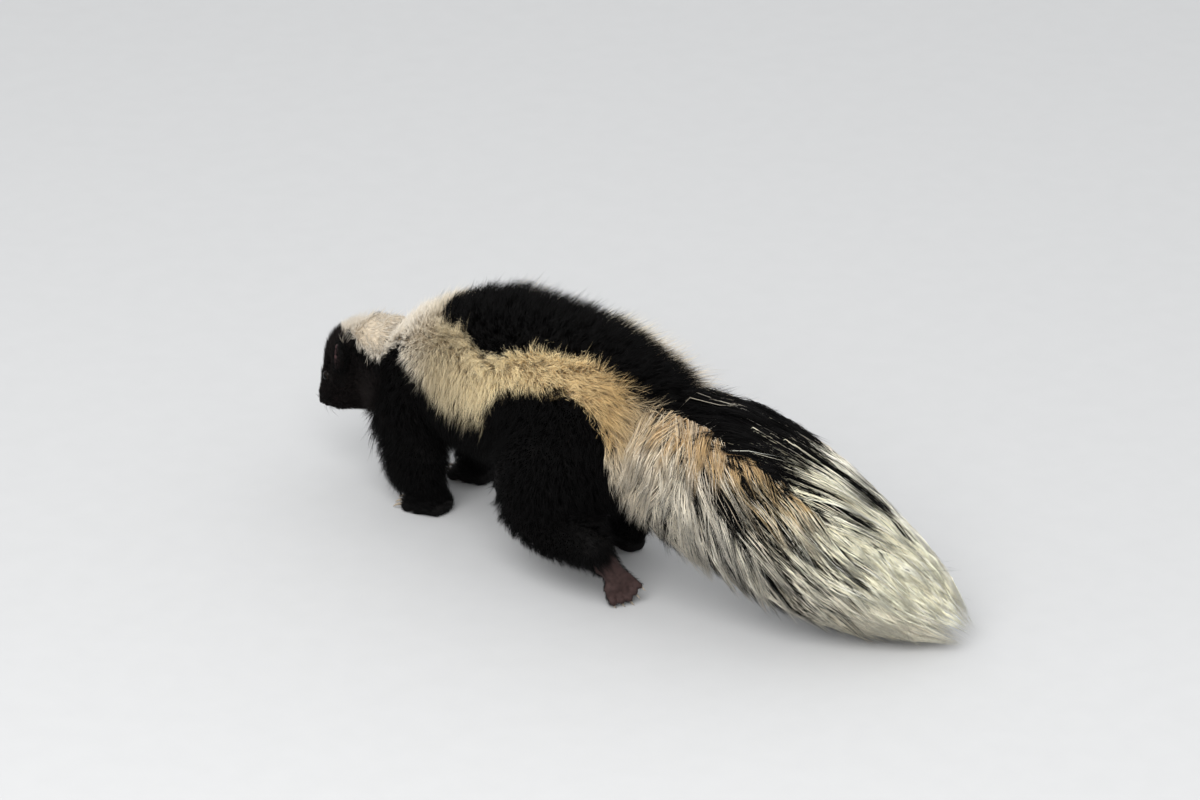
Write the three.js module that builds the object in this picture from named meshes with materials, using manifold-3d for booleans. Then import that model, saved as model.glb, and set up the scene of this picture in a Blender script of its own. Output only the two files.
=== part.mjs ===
// A life-size striped skunk, walking with its head low and its tail trailing on the floor.
// Millimetres, +Z up. The animal faces -Y, its own left side is +X, and the floor is z = 0.
// Each solid reaches to the tips of the coat there, so together they give the animal's outline.
import * as THREE from "three";
import { mergeVertices } from "three/addons/utils/BufferGeometryUtils.js";
import Module from "manifold-3d";

const wasm = await Module();
wasm.setup();

// Driving dimensions
const GAP = 0.35; // the thin cut between neighbouring parts
const CLEAR = 0.4; // between a limb, ear, eye or claw and what it grows from
const EYE_RADIUS = 4.2;
const EAR_HEIGHT = 29;
const EAR_WIDTH = 22;
const EAR_DEPTH = 12;
const FORE_CLAW_LENGTH = 13;
const HIND_CLAW_LENGTH = 8;

// The stations below are measured from a point beside the animal. This is the middle of its whole
// length and width on the floor there, and every finished part is moved so that it is the origin.
const MIDDLE = [-63, 138, 0];

// Stations along a body part: x, y, z of its middle, half width, reach above and reach below
const SPINE = [
  [-6, -114, 116, 30, 17, 50],
  [-11, -98, 113, 36, 26, 56],
  [-18, -76, 110, 43, 42, 58],
  [-26, -48, 113, 51, 61, 60],
  [-30, -10, 118, 59, 74, 66],
  [-32, 35, 121, 64, 80, 71],
  [-33, 80, 124, 68, 81, 75],
  [-34, 125, 125, 69, 80, 73],
  [-37, 165, 122, 64, 78, 67],
  [-43, 198, 117, 59, 74, 64],
  [-51, 236, 109, 58, 72, 66],
  [-66, 280, 97, 61, 71, 69],
  [-90, 324, 72, 59, 65, 64],
  [-118, 360, 46, 50, 54, 48],
  [-139, 392, 26, 38, 42, 28],
  [-152, 411, 13, 20, 22, 15],
];

// The head in its own frame: the nose tip is at y = 0 and the nape at +y
const HEAD_AT = [17, -150.5, 55.5];
const HEAD_PITCH = 57;
const HEAD_YAW = 27;
const HEAD_ROLL = -2;
const HEAD = [
  [0, 4, 0, 7, 5.5, 9],
  [0, 10, -0.5, 11, 8, 15],
  [0, 19, -1, 15, 12, 23],
  [0, 30, -1, 19.5, 17, 31],
  [0, 42, -1, 25, 22, 42],
  [0, 55, -1.5, 30, 25.5, 51],
  [0, 69, -2, 31, 23, 55],
  [0, 83, -4, 30, 17, 54],
];
const EYE = [15.8, 33, 6.4];
const EAR = [31.2, 64, 7.3];
const EAR_UP = [0.35, 0.62, 0.7];
const EAR_OPENS = [0.7, -0.6, 0.38];
const NOSE = [0, 2.2, 0.6];

// Each leg: stations of its upper and lower half, where its paw is, and the two planes that part
// it into upper leg, lower leg and paw. Reach is measured forwards and backwards, except where
// lowerUp says otherwise.
const LEGS = {
  fore_left: {
    kind: "fore",
    upper: [
      [-5, -46, 108, 28, 48, 36],
      [-1, -49, 84, 31, 51, 38],
      [1, -50, 62, 29, 48, 38],
    ],
    lower: [
      [1, -50, 64, 29, 48, 38],
      [5, -47, 44, 25, 42, 38],
      [6, -42, 28, 22, 38, 38],
      [4, -37, 13, 17, 20, 30],
    ],
    foot: { at: [1, -20, 0], yaw: 12 },
    cuts: [
      [[3, -50, 64], [0, 0, -1]],
      [[5, -38, 20], [0, 0, -1]],
    ],
  },
  fore_right: {
    kind: "fore",
    upper: [
      [-54, -46, 106, 28, 38, 36],
      [-59, -52, 82, 30, 37, 36],
      [-61, -55, 62, 26, 33, 33],
    ],
    lower: [
      [-61, -55, 64, 25, 32, 32],
      [-62, -56, 44, 21, 27, 28],
      [-62, -57, 27, 18, 24, 26],
      [-62, -55, 11, 16, 20, 20],
    ],
    foot: { at: [-62, -42, 0], yaw: 10 },
    cuts: [
      [[-61, -55, 64], [0, 0, -1]],
      [[-62, -57, 20], [0, 0, -1]],
    ],
  },
  hind_left: {
    kind: "hind",
    upper: [
      [-6, 152, 116, 38, 54, 50],
      [5, 130, 92, 40, 58, 54],
      [13, 106, 68, 32, 44, 44],
    ],
    lower: [
      [14, 96, 64, 27, 30, 34],
      [17, 128, 57, 26, 34, 35],
      [15, 160, 54, 21, 30, 32],
      [15, 189, 51, 14, 18, 25],
    ],
    lowerUp: [0, 0, 1],
    foot: { at: [16, 194, 50], along: [-25, 10, -50], sole: [0.4, 0.9, 0.15] },
    cuts: [
      [[14, 118, 64], [0, 0.75, -1]],
      [[15, 188, 50], [-0.1, 1, -0.5]],
    ],
  },
  hind_right: {
    kind: "hind",
    upper: [
      [-62, 150, 114, 38, 54, 50],
      [-73, 128, 90, 39, 54, 50],
      [-78, 108, 66, 30, 39, 38],
    ],
    lower: [
      [-78, 104, 64, 25, 31, 31],
      [-76, 110, 44, 21, 25, 28],
      [-74, 119, 26, 17, 20, 24],
      [-73, 122, 11, 14, 17, 18],
    ],
    foot: { at: [-72, 127, 0], yaw: -4 },
    cuts: [
      [[-77, 106, 62], [0, 0.2, -1]],
      [[-74, 120, 20], [0, 0.1, -1]],
    ],
  },
};

// Feet in their own frame: the toes point towards -y, the sole is at z = 0, the heel or wrist at y = 0
const TOES = [-2, -1, 0, 1, 2];
const FEET = {
  fore: {
    palm: [
      [0, 1, 9, 12, 9, 10],
      [0, -8, 9, 14, 10, 10],
      [0, -17, 7.5, 13, 8, 8],
    ],
    ball: -18,
    spread: 5.2,
    toe: 11,
    radius: 4.4,
    claw: FORE_CLAW_LENGTH,
  },
  hind: {
    palm: [
      [0, 2, 9, 9, 9, 9.5],
      [0, -18, 8, 9.5, 8, 8.5],
      [0, -35, 7, 11, 7, 8],
    ],
    ball: -38,
    spread: 4.4,
    toe: 12,
    radius: 3.9,
    claw: HIND_CLAW_LENGTH,
  },
};

const vector = (p) => new THREE.Vector3(...p);
const degrees = THREE.MathUtils.degToRad;

function material(colour, roughness) {
  const look = { color: colour, roughness, metalness: 0, flatShading: true };
  return new THREE.MeshStandardMaterial(look);
}
const BLACK_COAT = material(0x0d0c0c, 0.55);
const WHITE_COAT = material(0xc9b992, 0.6);
const BARE_SKIN = material(0x4a3531, 0.6);
const HORN = material(0x3a2c26, 0.4);
const WET_BLACK = material(0x060505, 0.15);

// A closed surface as a solid that can be joined and cut
function solid(geometry, matrix = new THREE.Matrix4()) {
  const bare = new THREE.BufferGeometry();
  bare.setAttribute("position", geometry.getAttribute("position"));
  bare.setIndex(geometry.getIndex());
  const merged = mergeVertices(bare.clone().applyMatrix4(matrix), 1e-4);
  const triVerts = new Uint32Array(merged.getIndex().array);
  const vertProperties = merged.getAttribute("position").array;
  const made = new wasm.Manifold(new wasm.Mesh({ numProp: 3, vertProperties, triVerts }));
  if (made.volume() > 0) return made;
  for (let i = 0; i < triVerts.length; i += 3) {
    [triVerts[i + 1], triVerts[i + 2]] = [triVerts[i + 2], triVerts[i + 1]];
  }
  return new wasm.Manifold(new wasm.Mesh({ numProp: 3, vertProperties, triVerts }));
}

// A solid back as a named mesh, moved to its place about the origin
function mesh(name, made, look) {
  const found = made.getMesh();
  const points = new Float32Array(found.vertProperties);
  const geometry = new THREE.BufferGeometry();
  geometry.setAttribute("position", new THREE.BufferAttribute(points, 3));
  geometry.setIndex(new THREE.BufferAttribute(new Uint32Array(found.triVerts), 1));
  geometry.translate(-MIDDLE[0], -MIDDLE[1], -MIDDLE[2]);
  geometry.computeVertexNormals();
  const result = new THREE.Mesh(geometry, look);
  result.name = name;
  return result;
}

// A closed body of oval rings along a smooth line through the stations. Its reach above and below
// is measured towards `up`, and round caps close its ends. `grow` makes it larger all over.
const PLAIN = { up: [0, 0, 1], sides: 18, rings: 2, caps: [0.6, 0.6], round: 2, grow: 0 };
function loft(stations, options = {}) {
  const { up, sides, rings, caps, round, grow } = { ...PLAIN, ...options };
  const line = new THREE.CatmullRomCurve3(stations.map((s) => vector(s.slice(0, 3))));
  const reach = new THREE.CatmullRomCurve3(stations.map((s) => vector(s.slice(3, 6))));
  const count = (stations.length - 1) * rings;
  const places = [];
  const add = (t, along, scale) => {
    const tangent = line.getTangent(t);
    const side = new THREE.Vector3().crossVectors(vector(up), tangent).normalize();
    const above = new THREE.Vector3().crossVectors(tangent, side).normalize();
    const size = reach.getPoint(t).addScalar(grow);
    const middle = line.getPoint(t).addScaledVector(tangent, along * size.x);
    places.push({ middle, side, above, size: size.multiplyScalar(scale) });
  };
  for (let i = round; i > 0; i--) {
    const a = (Math.PI / 2) * (i / (round + 1));
    add(0, -caps[0] * Math.sin(a), Math.cos(a));
  }
  for (let i = 0; i <= count; i++) add(i / count, 0, 1);
  for (let i = 1; i <= round; i++) {
    const a = (Math.PI / 2) * (i / (round + 1));
    add(1, caps[1] * Math.sin(a), Math.cos(a));
  }

  const points = [];
  for (const { middle, side, above, size } of places) {
    for (let k = 0; k < sides; k++) {
      const a = ((k + 0.5) / sides) * 2 * Math.PI;
      const lift = Math.sin(a) * (Math.sin(a) > 0 ? size.y : size.z);
      const point = middle.clone().addScaledVector(side, Math.cos(a) * size.x);
      points.push(point.addScaledVector(above, lift));
    }
  }
  const ends = [0, 1].map((t) => {
    const size = reach.getPoint(t).addScalar(grow);
    return line.getPoint(t).addScaledVector(line.getTangent(t), (t ? caps[1] : -caps[0]) * size.x);
  });
  const index = [];
  for (let r = 0; r + 1 < places.length; r++) {
    for (let k = 0; k < sides; k++) {
      const a = r * sides + k;
      const b = r * sides + ((k + 1) % sides);
      index.push(a, b, b + sides, a, b + sides, a + sides);
    }
  }
  const first = points.length;
  const last = (places.length - 1) * sides;
  for (let k = 0; k < sides; k++) {
    const next = (k + 1) % sides;
    index.push(first, next, k, first + 1, last + k, last + next);
  }
  const geometry = new THREE.BufferGeometry().setFromPoints([...points, ...ends]);
  geometry.setIndex(index);
  return geometry;
}

function oval(middle, radii, detail = 10) {
  const ball = new THREE.SphereGeometry(1, detail, detail / 2);
  return ball.scale(...radii).translate(...middle);
}

// The side of a plane that `towards` points to, as a large box
const FAR = 1200;
function halfSpace(at, towards, shift = 0) {
  const way = vector(towards).normalize();
  const turn = new THREE.Quaternion().setFromUnitVectors(new THREE.Vector3(0, 0, 1), way);
  const box = new THREE.BoxGeometry(FAR, FAR, FAR).translate(0, 0, FAR / 2 + shift);
  box.applyQuaternion(turn).translate(...at);
  return solid(box);
}

// Cuts a solid into lengths at the planes, in order, with a thin gap at each
function lengths(whole, planes) {
  const pieces = [];
  let rest = whole;
  for (const [at, towards] of planes) {
    pieces.push(rest.subtract(halfSpace(at, towards, -GAP / 2)));
    rest = rest.intersect(halfSpace(at, towards, GAP / 2));
  }
  pieces.push(rest);
  return pieces;
}

const union = (solids) => solids.reduce((a, b) => a.add(b));
const aboveFloor = halfSpace([0, 0, 0], [0, 0, 1]);

// Head frame
const headMatrix = new THREE.Matrix4().compose(
  vector(HEAD_AT),
  new THREE.Quaternion().setFromEuler(
    new THREE.Euler(degrees(HEAD_PITCH), degrees(HEAD_ROLL), degrees(HEAD_YAW), "ZYX"),
  ),
  new THREE.Vector3(1, 1, 1),
);
const mirror = (p, side) => [p[0] * side, p[1], p[2]];

function spineSolid(grow) {
  return union([
    solid(loft(HEAD, { sides: 18, rings: 1, caps: [0.9, 0.4], grow }), headMatrix),
    solid(loft(SPINE, { sides: 20, rings: 1, caps: [0.4, 1], grow })),
  ]);
}

// Eyes and nose sit in the head
function eyeSolid(side, grow) {
  return solid(oval(mirror(EYE, side), Array(3).fill(EYE_RADIUS + grow), 10), headMatrix);
}

function noseSolid(grow) {
  return solid(oval(NOSE, [5.4 + grow, 4.6 + grow, 4.4 + grow], 10), headMatrix);
}

// The ear is a rounded cup, open forwards and outwards
function earSolid(side) {
  const opens = vector(mirror(EAR_OPENS, side)).normalize();
  const height = vector(mirror(EAR_UP, side)).normalize();
  const width = new THREE.Vector3().crossVectors(height, opens).normalize();
  height.crossVectors(opens, width);
  const place = new THREE.Matrix4().makeBasis(opens, width, height).setPosition(...mirror(EAR, side));
  place.premultiply(headMatrix);
  const size = [EAR_DEPTH / 2, EAR_WIDTH / 2, EAR_HEIGHT / 2];
  const hollow = size.map((s) => s - 1.6);
  const cup = solid(oval([EAR_DEPTH * 0.4, 0, 1], hollow), place);
  return solid(oval([0, 0, 0], size), place).subtract(cup);
}

// The foot's own frame, for a foot flat on the floor or one that points another way
function footMatrix({ at, yaw = 0, along, sole }) {
  if (!along) return new THREE.Matrix4().makeRotationZ(degrees(yaw)).setPosition(...at);
  const back = vector(along).normalize().negate();
  const down = vector(sole);
  down.addScaledVector(back, -down.dot(back)).normalize();
  const top = down.negate();
  const side = new THREE.Vector3().crossVectors(back, top);
  return new THREE.Matrix4().makeBasis(side, back, top).setPosition(...at);
}

function toeLine(shape, i) {
  const fan = degrees(i * 7);
  const start = [i * shape.spread, shape.ball + Math.abs(i) * 2.2, 5];
  const end = [start[0] + Math.sin(fan) * shape.toe, start[1] - Math.cos(fan) * shape.toe, 4.3];
  return { start, end, way: vector(end).sub(vector(start)).normalize() };
}

function pawSolid(shape, place) {
  const toes = TOES.map((i) => {
    const { start, end } = toeLine(shape, i);
    const r = shape.radius;
    const stations = [[...start, r, r, r], [...end, r * 0.92, r * 0.9, r]];
    return solid(loft(stations, { sides: 6, rings: 1, round: 1, caps: [0.7, 0.8] }), place);
  });
  const palm = loft(shape.palm, { sides: 10, rings: 1, caps: [0.6, 0.5] });
  return union([solid(palm, place), ...toes]);
}

function clawSolid(shape, i, place, grow = 0) {
  const { end, way } = toeLine(shape, i);
  const length = shape.claw * (1 - 0.1 * Math.abs(i));
  const at = (share, lift) => {
    const point = vector(end).addScaledVector(way, length * share + 1);
    return [point.x, point.y, point.z + lift];
  };
  const base = 1.7 + grow;
  const stations = [
    [...at(0, 0.8), base, base * 1.2, base],
    [...at(0.55, 0.9), base * 0.75, base * 0.9, base * 0.8],
    [...at(1, -2.4), 0.5 + grow, 0.5 + grow, 0.5 + grow],
  ];
  return solid(loft(stations, { sides: 5, rings: 1, round: 0, caps: [0.5, 0.5] }), place);
}

const animal = new THREE.Group();
const spine = spineSolid(0);
const spineGrown = spineSolid(CLEAR);

let flesh = spine.intersect(aboveFloor).subtract(noseSolid(CLEAR));
for (const [name, side] of Object.entries({ left: 1, right: -1 })) {
  animal.add(mesh(`ear_${name}`, earSolid(side).subtract(spineGrown), BLACK_COAT));
  animal.add(mesh(`eye_${name}`, eyeSolid(side, 0), WET_BLACK));
  flesh = flesh.subtract(eyeSolid(side, CLEAR));
}
animal.add(mesh("nose", noseSolid(0), WET_BLACK));

// Head, neck, trunk and tail are parted by thin cuts across the body
const CUTS = [
  ["head", BLACK_COAT, [-9, -104, 116], [-0.36, 0.76, 0.2]],
  ["neck", WHITE_COAT, [-25, -62, 110], [-0.2, 1, 0]],
  ["chest", BLACK_COAT, [-32, 30, 110], [0, 1, 0]],
  ["loin", BLACK_COAT, [-32, 100, 110], [0, 1, 0]],
  ["rump", BLACK_COAT, [-43, 200, 115], [-0.2, 1, -0.15]],
  ["tail_base", WHITE_COAT, [-65, 275, 98], [-0.4, 1, -0.35]],
  ["tail_middle", WHITE_COAT, [-102, 341, 62], [-0.6, 1, -0.6]],
];
lengths(flesh, CUTS.map((cut) => cut.slice(2))).forEach((piece, i) => {
  const [name, look] = CUTS[i] ?? ["tail_tip", WHITE_COAT];
  animal.add(mesh(name, piece, look));
});

// Each leg: upper leg, lower leg, paw and five claws
for (const [name, leg] of Object.entries(LEGS)) {
  const shape = FEET[leg.kind];
  const place = footMatrix(leg.foot);
  const front = { up: [0, -1, 0], sides: 11, caps: [0.6, 0.6] };
  const below = { ...front, up: leg.lowerUp ?? front.up };
  const upperSolid = solid(loft(leg.upper, front));
  const lowerSolid = solid(loft(leg.lower, below));
  let limb = union([upperSolid, lowerSolid, pawSolid(shape, place)]);
  limb = limb.intersect(aboveFloor).subtract(spineGrown);
  TOES.forEach((i) => {
    limb = limb.subtract(clawSolid(shape, i, place, CLEAR));
  });
  const [upper, lower, paw] = lengths(limb, leg.cuts);
  animal.add(mesh(`leg_${name}_upper`, upper, BLACK_COAT));
  animal.add(mesh(`leg_${name}_lower`, lower, BLACK_COAT));
  animal.add(mesh(`paw_${name}`, paw, BARE_SKIN));
  TOES.forEach((i, n) => {
    const claw = clawSolid(shape, i, place).intersect(aboveFloor);
    animal.add(mesh(`claw_${name}_${n + 1}`, claw, HORN));
  });
}

export default animal;
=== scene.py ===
"""A life-size striped skunk, walking with its head low and its tail trailing on the floor.

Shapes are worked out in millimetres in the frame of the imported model, and made in metres.
A skin is meshed from distance fields, and a coat of tapered locks grows on it out to the outline
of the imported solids.
"""

import math

import bmesh
import bpy
import numpy as np
import openvdb as vdb
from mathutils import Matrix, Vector
from mathutils.kdtree import KDTree


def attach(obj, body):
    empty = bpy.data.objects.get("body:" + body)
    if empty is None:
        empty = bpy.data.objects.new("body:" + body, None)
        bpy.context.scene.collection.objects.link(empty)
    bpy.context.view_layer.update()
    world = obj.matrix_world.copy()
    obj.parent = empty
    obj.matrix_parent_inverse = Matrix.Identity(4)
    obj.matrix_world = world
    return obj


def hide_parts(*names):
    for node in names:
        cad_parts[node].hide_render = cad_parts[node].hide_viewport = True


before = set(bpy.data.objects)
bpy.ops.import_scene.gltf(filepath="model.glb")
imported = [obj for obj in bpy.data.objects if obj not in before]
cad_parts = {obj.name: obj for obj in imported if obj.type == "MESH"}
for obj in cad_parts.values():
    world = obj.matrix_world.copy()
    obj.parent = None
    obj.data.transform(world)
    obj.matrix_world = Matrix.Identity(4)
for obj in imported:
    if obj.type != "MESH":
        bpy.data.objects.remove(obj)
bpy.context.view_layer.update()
rng = np.random.default_rng(41)
MM = 0.001
INF = math.inf

# The stations below are measured from a point beside the animal, and MIDDLE is the origin there
MIDDLE = np.array([-63.0, 138.0, 0.0])


def unit(v):
    v = np.asarray(v, float)
    return v / np.maximum(np.linalg.norm(v, axis=-1, keepdims=True), 1e-9)


def smooth(low, high, x):
    t = np.clip((x - low) / (high - low), 0, 1)
    return t * t * (3 - 2 * t)


def mix(a, b, t):
    return a + (b - a) * t


def bow(a, b, c, t):
    """A curve from a to c, drawn towards b."""
    return a * (1 - t) ** 2 + b * 2 * t * (1 - t) + c * t**2


def table(pairs, x):
    """The value at x of a line through pairs of numbers."""
    a = np.array(pairs, float)
    return np.interp(x, a[:, 0], a[:, 1])


def follow(values, places, at):
    """Rows of numbers that belong to rising places, read at other places between them."""
    values = np.asarray(values, float)
    return np.stack([np.interp(at, places, values[:, k]) for k in range(values.shape[1])], -1)


def within(q, low, high):
    """Which points lie inside a box."""
    return ((q > low) & (q < high)).all(-1)


def mirrored(q):
    """Points brought over to the left side."""
    q = np.array(q, float)
    q[..., 0] = np.abs(q[..., 0])
    return q


# ---- Distance fields ----
VOXEL = 1.25
LOW = np.array([-120.0, -300.0, -7.5])
SHAPE = (188, 484, 176)
BAND = 9  # how far from a surface its distances are worked out, in millimetres


def grid_points(low, step, shape):
    axes = [low[k] + step * np.arange(shape[k]) for k in range(3)]
    return np.stack(np.meshgrid(*axes, indexing="ij"), -1)


def grid_corner(low, step):
    return tuple(int(v) for v in np.round(np.asarray(low) / step))


class Field:
    """Distances on a grid: negative inside. Its low corner and spacing are in millimetres."""

    def __init__(self, low, step, values):
        self.low = np.asarray(low, float)
        self.step = step
        self.values = values

    def at(self, points):
        p = (np.asarray(points, float) - self.low) / self.step
        top = np.array(self.values.shape) - 1.001
        p = np.clip(p, 0, top)
        i = p.astype(int)
        f = p - i
        v = self.values
        x, y, z = i[..., 0], i[..., 1], i[..., 2]
        fx, fy, fz = f[..., 0], f[..., 1], f[..., 2]
        c00 = v[x, y, z] * (1 - fx) + v[x + 1, y, z] * fx
        c10 = v[x, y + 1, z] * (1 - fx) + v[x + 1, y + 1, z] * fx
        c01 = v[x, y, z + 1] * (1 - fx) + v[x + 1, y, z + 1] * fx
        c11 = v[x, y + 1, z + 1] * (1 - fx) + v[x + 1, y + 1, z + 1] * fx
        return (c00 * (1 - fy) + c10 * fy) * (1 - fz) + (c01 * (1 - fy) + c11 * fy) * fz

    def slope(self, points, reach=1.0):
        out = []
        for axis in np.eye(3) * reach:
            out.append(self.at(points + axis) - self.at(points - axis))
        return unit(np.stack(out, -1))


def level(mesh, low, step, shape, outer=BAND, inner=BAND):
    """The distance to a closed mesh (points, quads, triangles) on a grid."""
    points, quads, tris = mesh
    grid = vdb.FloatGrid.createLevelSetFromPolygons(
        np.ascontiguousarray(points, np.float32),
        triangles=np.ascontiguousarray(tris, np.uint32) if len(tris) else None,
        quads=np.ascontiguousarray(quads, np.uint32) if len(quads) else None,
        transform=vdb.createLinearTransform(voxelSize=step),
        exBandWidth=float(outer / step),
        inBandWidth=float(inner / step),
    )
    values = np.empty(shape, np.float32)
    grid.copyToArray(values, ijk=grid_corner(low, step))
    return values


def surface(values, low, step, level_at=0.0):
    """Points and quads of the surface of a grid of distances."""
    grid = vdb.FloatGrid(float(values.max()))
    grid.transform = vdb.createLinearTransform(voxelSize=step)
    grid.copyFromArray(np.ascontiguousarray(values), ijk=grid_corner(low, step))
    points, quads = grid.convertToQuads(level_at)
    return points.astype(float), quads.astype(np.int64)


def turned_outwards(points, quads, field):
    """The quads with their outer sides the way the distances grow: OpenVDB's order may differ."""
    a, b, c = (points[quads[::50, k]] for k in range(3))
    facing = (np.cross(b - a, c - a) * field.slope(a)).sum()
    return quads[:, ::-1] if facing < 0 else quads


def blend(a, b, k):
    """The union of two fields with a fillet of about k."""
    h = np.clip(0.5 + 0.5 * (b - a) / k, 0, 1)
    return b * (1 - h) + a * h - k * h * (1 - h)


def carve(a, b, k):
    """Field a with b cut out of it, with an edge rounded by about k."""
    return -blend(-a, b, k)


def capsule(p, a, b, ra, rb):
    a = np.asarray(a, float)
    ab = np.asarray(b, float) - a
    t = np.clip(((p - a) @ ab) / (ab @ ab), 0, 1)
    return np.linalg.norm(p - a - t[..., None] * ab, axis=-1) - (ra + (rb - ra) * t)


def ellipsoid(p, middle, radii):
    q = (p - np.asarray(middle, float)) / np.asarray(radii, float)
    k0 = np.linalg.norm(q, axis=-1)
    k1 = np.linalg.norm(q / np.asarray(radii, float), axis=-1)
    return k0 * (k0 - 1) / np.maximum(k1, 1e-6)


def sculpt(values, p, steps):
    """Blends shapes into a field, or carves them out of it where the fillet is below 0.

    After the fillet a step has a ball's middle and radii, or a capsule's two ends and their radii.
    """
    for fillet, *shape in steps:
        found = (ellipsoid if len(shape) == 2 else capsule)(p, *shape)
        values = blend(values, found, fillet) if fillet > 0 else carve(values, found, -fillet)
    return values


def spread(stations, rings):
    """A smooth line through the stations, with so many rings between each two."""
    s = np.asarray(stations, float)
    n = len(s)
    pad = np.vstack([2 * s[0] - s[1], s, 2 * s[-1] - s[-2]])
    t = np.linspace(0, n - 1, (n - 1) * rings + 1)
    i = np.minimum(t.astype(int), n - 2)
    f = (t - i)[:, None]
    a, b, c, d = pad[i], pad[i + 1], pad[i + 2], pad[i + 3]
    return 0.5 * (2 * b + (c - a) * f + (2 * a - 5 * b + 4 * c - d) * f**2 + (3 * b - a - 3 * c + d) * f**3)


def tube_faces(rows, sides):
    """Quads round a tube of rings, and the fans of triangles that close it at two more points."""
    k = np.arange(sides)
    nxt = (k + 1) % sides
    row = np.arange(rows - 1)[:, None] * sides
    a, b = row + k, row + nxt
    quads = np.stack([a, b, b + sides, a + sides], -1).reshape(-1, 4)
    n = rows * sides
    first = np.stack([np.full(sides, n), nxt, k], -1)
    last = np.stack([np.full(sides, n + 1), n - sides + k, n - sides + nxt], -1)
    return quads, np.vstack([first, last])


def loft(stations, up=(0, 0, 1), rings=6, sides=48, caps=(0.6, 0.6)):
    """A closed body of oval rings. A station is x, y, z, half width, reach above, reach below."""
    line = spread(stations, rings)
    middle, size = line[:, :3], np.maximum(line[:, 3:6], 0.3)
    tangent = unit(np.gradient(middle, axis=0))
    side = unit(np.cross(up, tangent))
    above = np.cross(tangent, side)
    bend = np.linspace(0, math.pi / 2, 7)[1:]
    first, last = -tangent[0] * caps[0] * size[0][0], tangent[-1] * caps[1] * size[-1][0]
    places = [(middle[0] + first * math.sin(a), 0, math.cos(a)) for a in bend[::-1]]
    places += [(m, i, 1.0) for i, m in enumerate(middle)]
    places += [(middle[-1] + last * math.sin(a), -1, math.cos(a)) for a in bend]
    angle = (np.arange(sides) + 0.5) / sides * 2 * math.pi
    points = []
    for m, i, scale in places:
        scale = max(scale, 0.02)
        lift = np.sin(angle) * np.where(np.sin(angle) > 0, size[i][1], size[i][2]) * scale
        points.append(m + np.cos(angle)[:, None] * size[i][0] * scale * side[i] + lift[:, None] * above[i])
    quads, tris = tube_faces(len(places), sides)
    return np.vstack(points + [points[0].mean(0), points[-1].mean(0)]), quads, tris


# ---- Arrays from and to Blender's meshes ----


def read(items, what, width, kind=np.float32):
    """Numbers of a mesh's vertices, faces or corners, one row for each."""
    values = np.empty(len(items) * width, kind)
    items.foreach_get(what, values)
    return values.reshape(-1, width)


def points_of(me):
    return read(me.vertices, "co", 3).astype(float) / MM


def triangles_of(me):
    me.calc_loop_triangles()
    return read(me.loop_triangles, "vertices", 3, np.int32)


def add(name, data):
    made = bpy.data.objects.new(name, data)
    bpy.context.scene.collection.objects.link(made)
    return made


def new_object(name, points, quads=(), tris=(), check=True):
    """A smooth mesh object in metres from arrays in millimetres."""
    quads = np.asarray(quads, np.int64).reshape(-1, 4)
    tris = np.asarray(tris, np.int64).reshape(-1, 3)
    me = bpy.data.meshes.new(name)
    me.vertices.add(len(points))
    me.vertices.foreach_set("co", (np.asarray(points, float) * MM).astype(np.float32).ravel())
    loops = np.concatenate([quads.ravel(), tris.ravel()]).astype(np.int32)
    me.loops.add(len(loops))
    me.loops.foreach_set("vertex_index", loops)
    total = np.concatenate([np.full(len(quads), 4), np.full(len(tris), 3)]).astype(np.int32)
    start = np.concatenate([[0], np.cumsum(total)[:-1]]).astype(np.int32)
    me.polygons.add(len(total))
    me.polygons.foreach_set("loop_start", start)
    me.polygons.foreach_set("loop_total", total)
    me.polygons.foreach_set("use_smooth", np.ones(len(total), bool))
    me.update(calc_edges=True)
    if check:
        me.validate()
    return add(name, me)


def paint(made, colours):
    layer = made.data.color_attributes.new("Col", "FLOAT_COLOR", "POINT")
    rgba = np.ones((len(colours), 4), np.float32)
    rgba[:, :3] = colours
    layer.data.foreach_set("color", rgba.ravel())


def refine(made, chosen):
    """Splits the faces whose points are all chosen into four."""
    bm = bmesh.new()
    bm.from_mesh(made.data)
    edges = [e for e in bm.edges if chosen[e.verts[0].index] and chosen[e.verts[1].index]]
    bmesh.ops.subdivide_edges(bm, edges=edges, cuts=1, use_grid_fill=True)
    bm.to_mesh(made.data)
    bm.free()


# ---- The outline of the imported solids, out to the tips of the coat ----
FLESH = "head neck chest loin rump tail_base tail_middle tail_tip ear_left ear_right".split()
LIMBS = ["fore_left", "fore_right", "hind_left", "hind_right"]
for limb in LIMBS:
    FLESH += [f"leg_{limb}_upper", f"leg_{limb}_lower", f"paw_{limb}"]


def node_mesh(name, grow):
    """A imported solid's points, moved outwards by so many millimetres, and its triangles."""
    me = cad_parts[name].data
    points, tris = points_of(me), triangles_of(me)
    _, first, same = np.unique(np.round(points, 2), axis=0, return_index=True, return_inverse=True)
    points, tris = points[first], same.ravel()[tris]
    a, b, c = points[tris[:, 0]], points[tris[:, 1]], points[tris[:, 2]]
    face = np.cross(b - a, c - a)
    normal = np.zeros_like(points)
    for k in range(3):
        np.add.at(normal, tris[:, k], face)
    return points + unit(normal) * grow, tris


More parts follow.
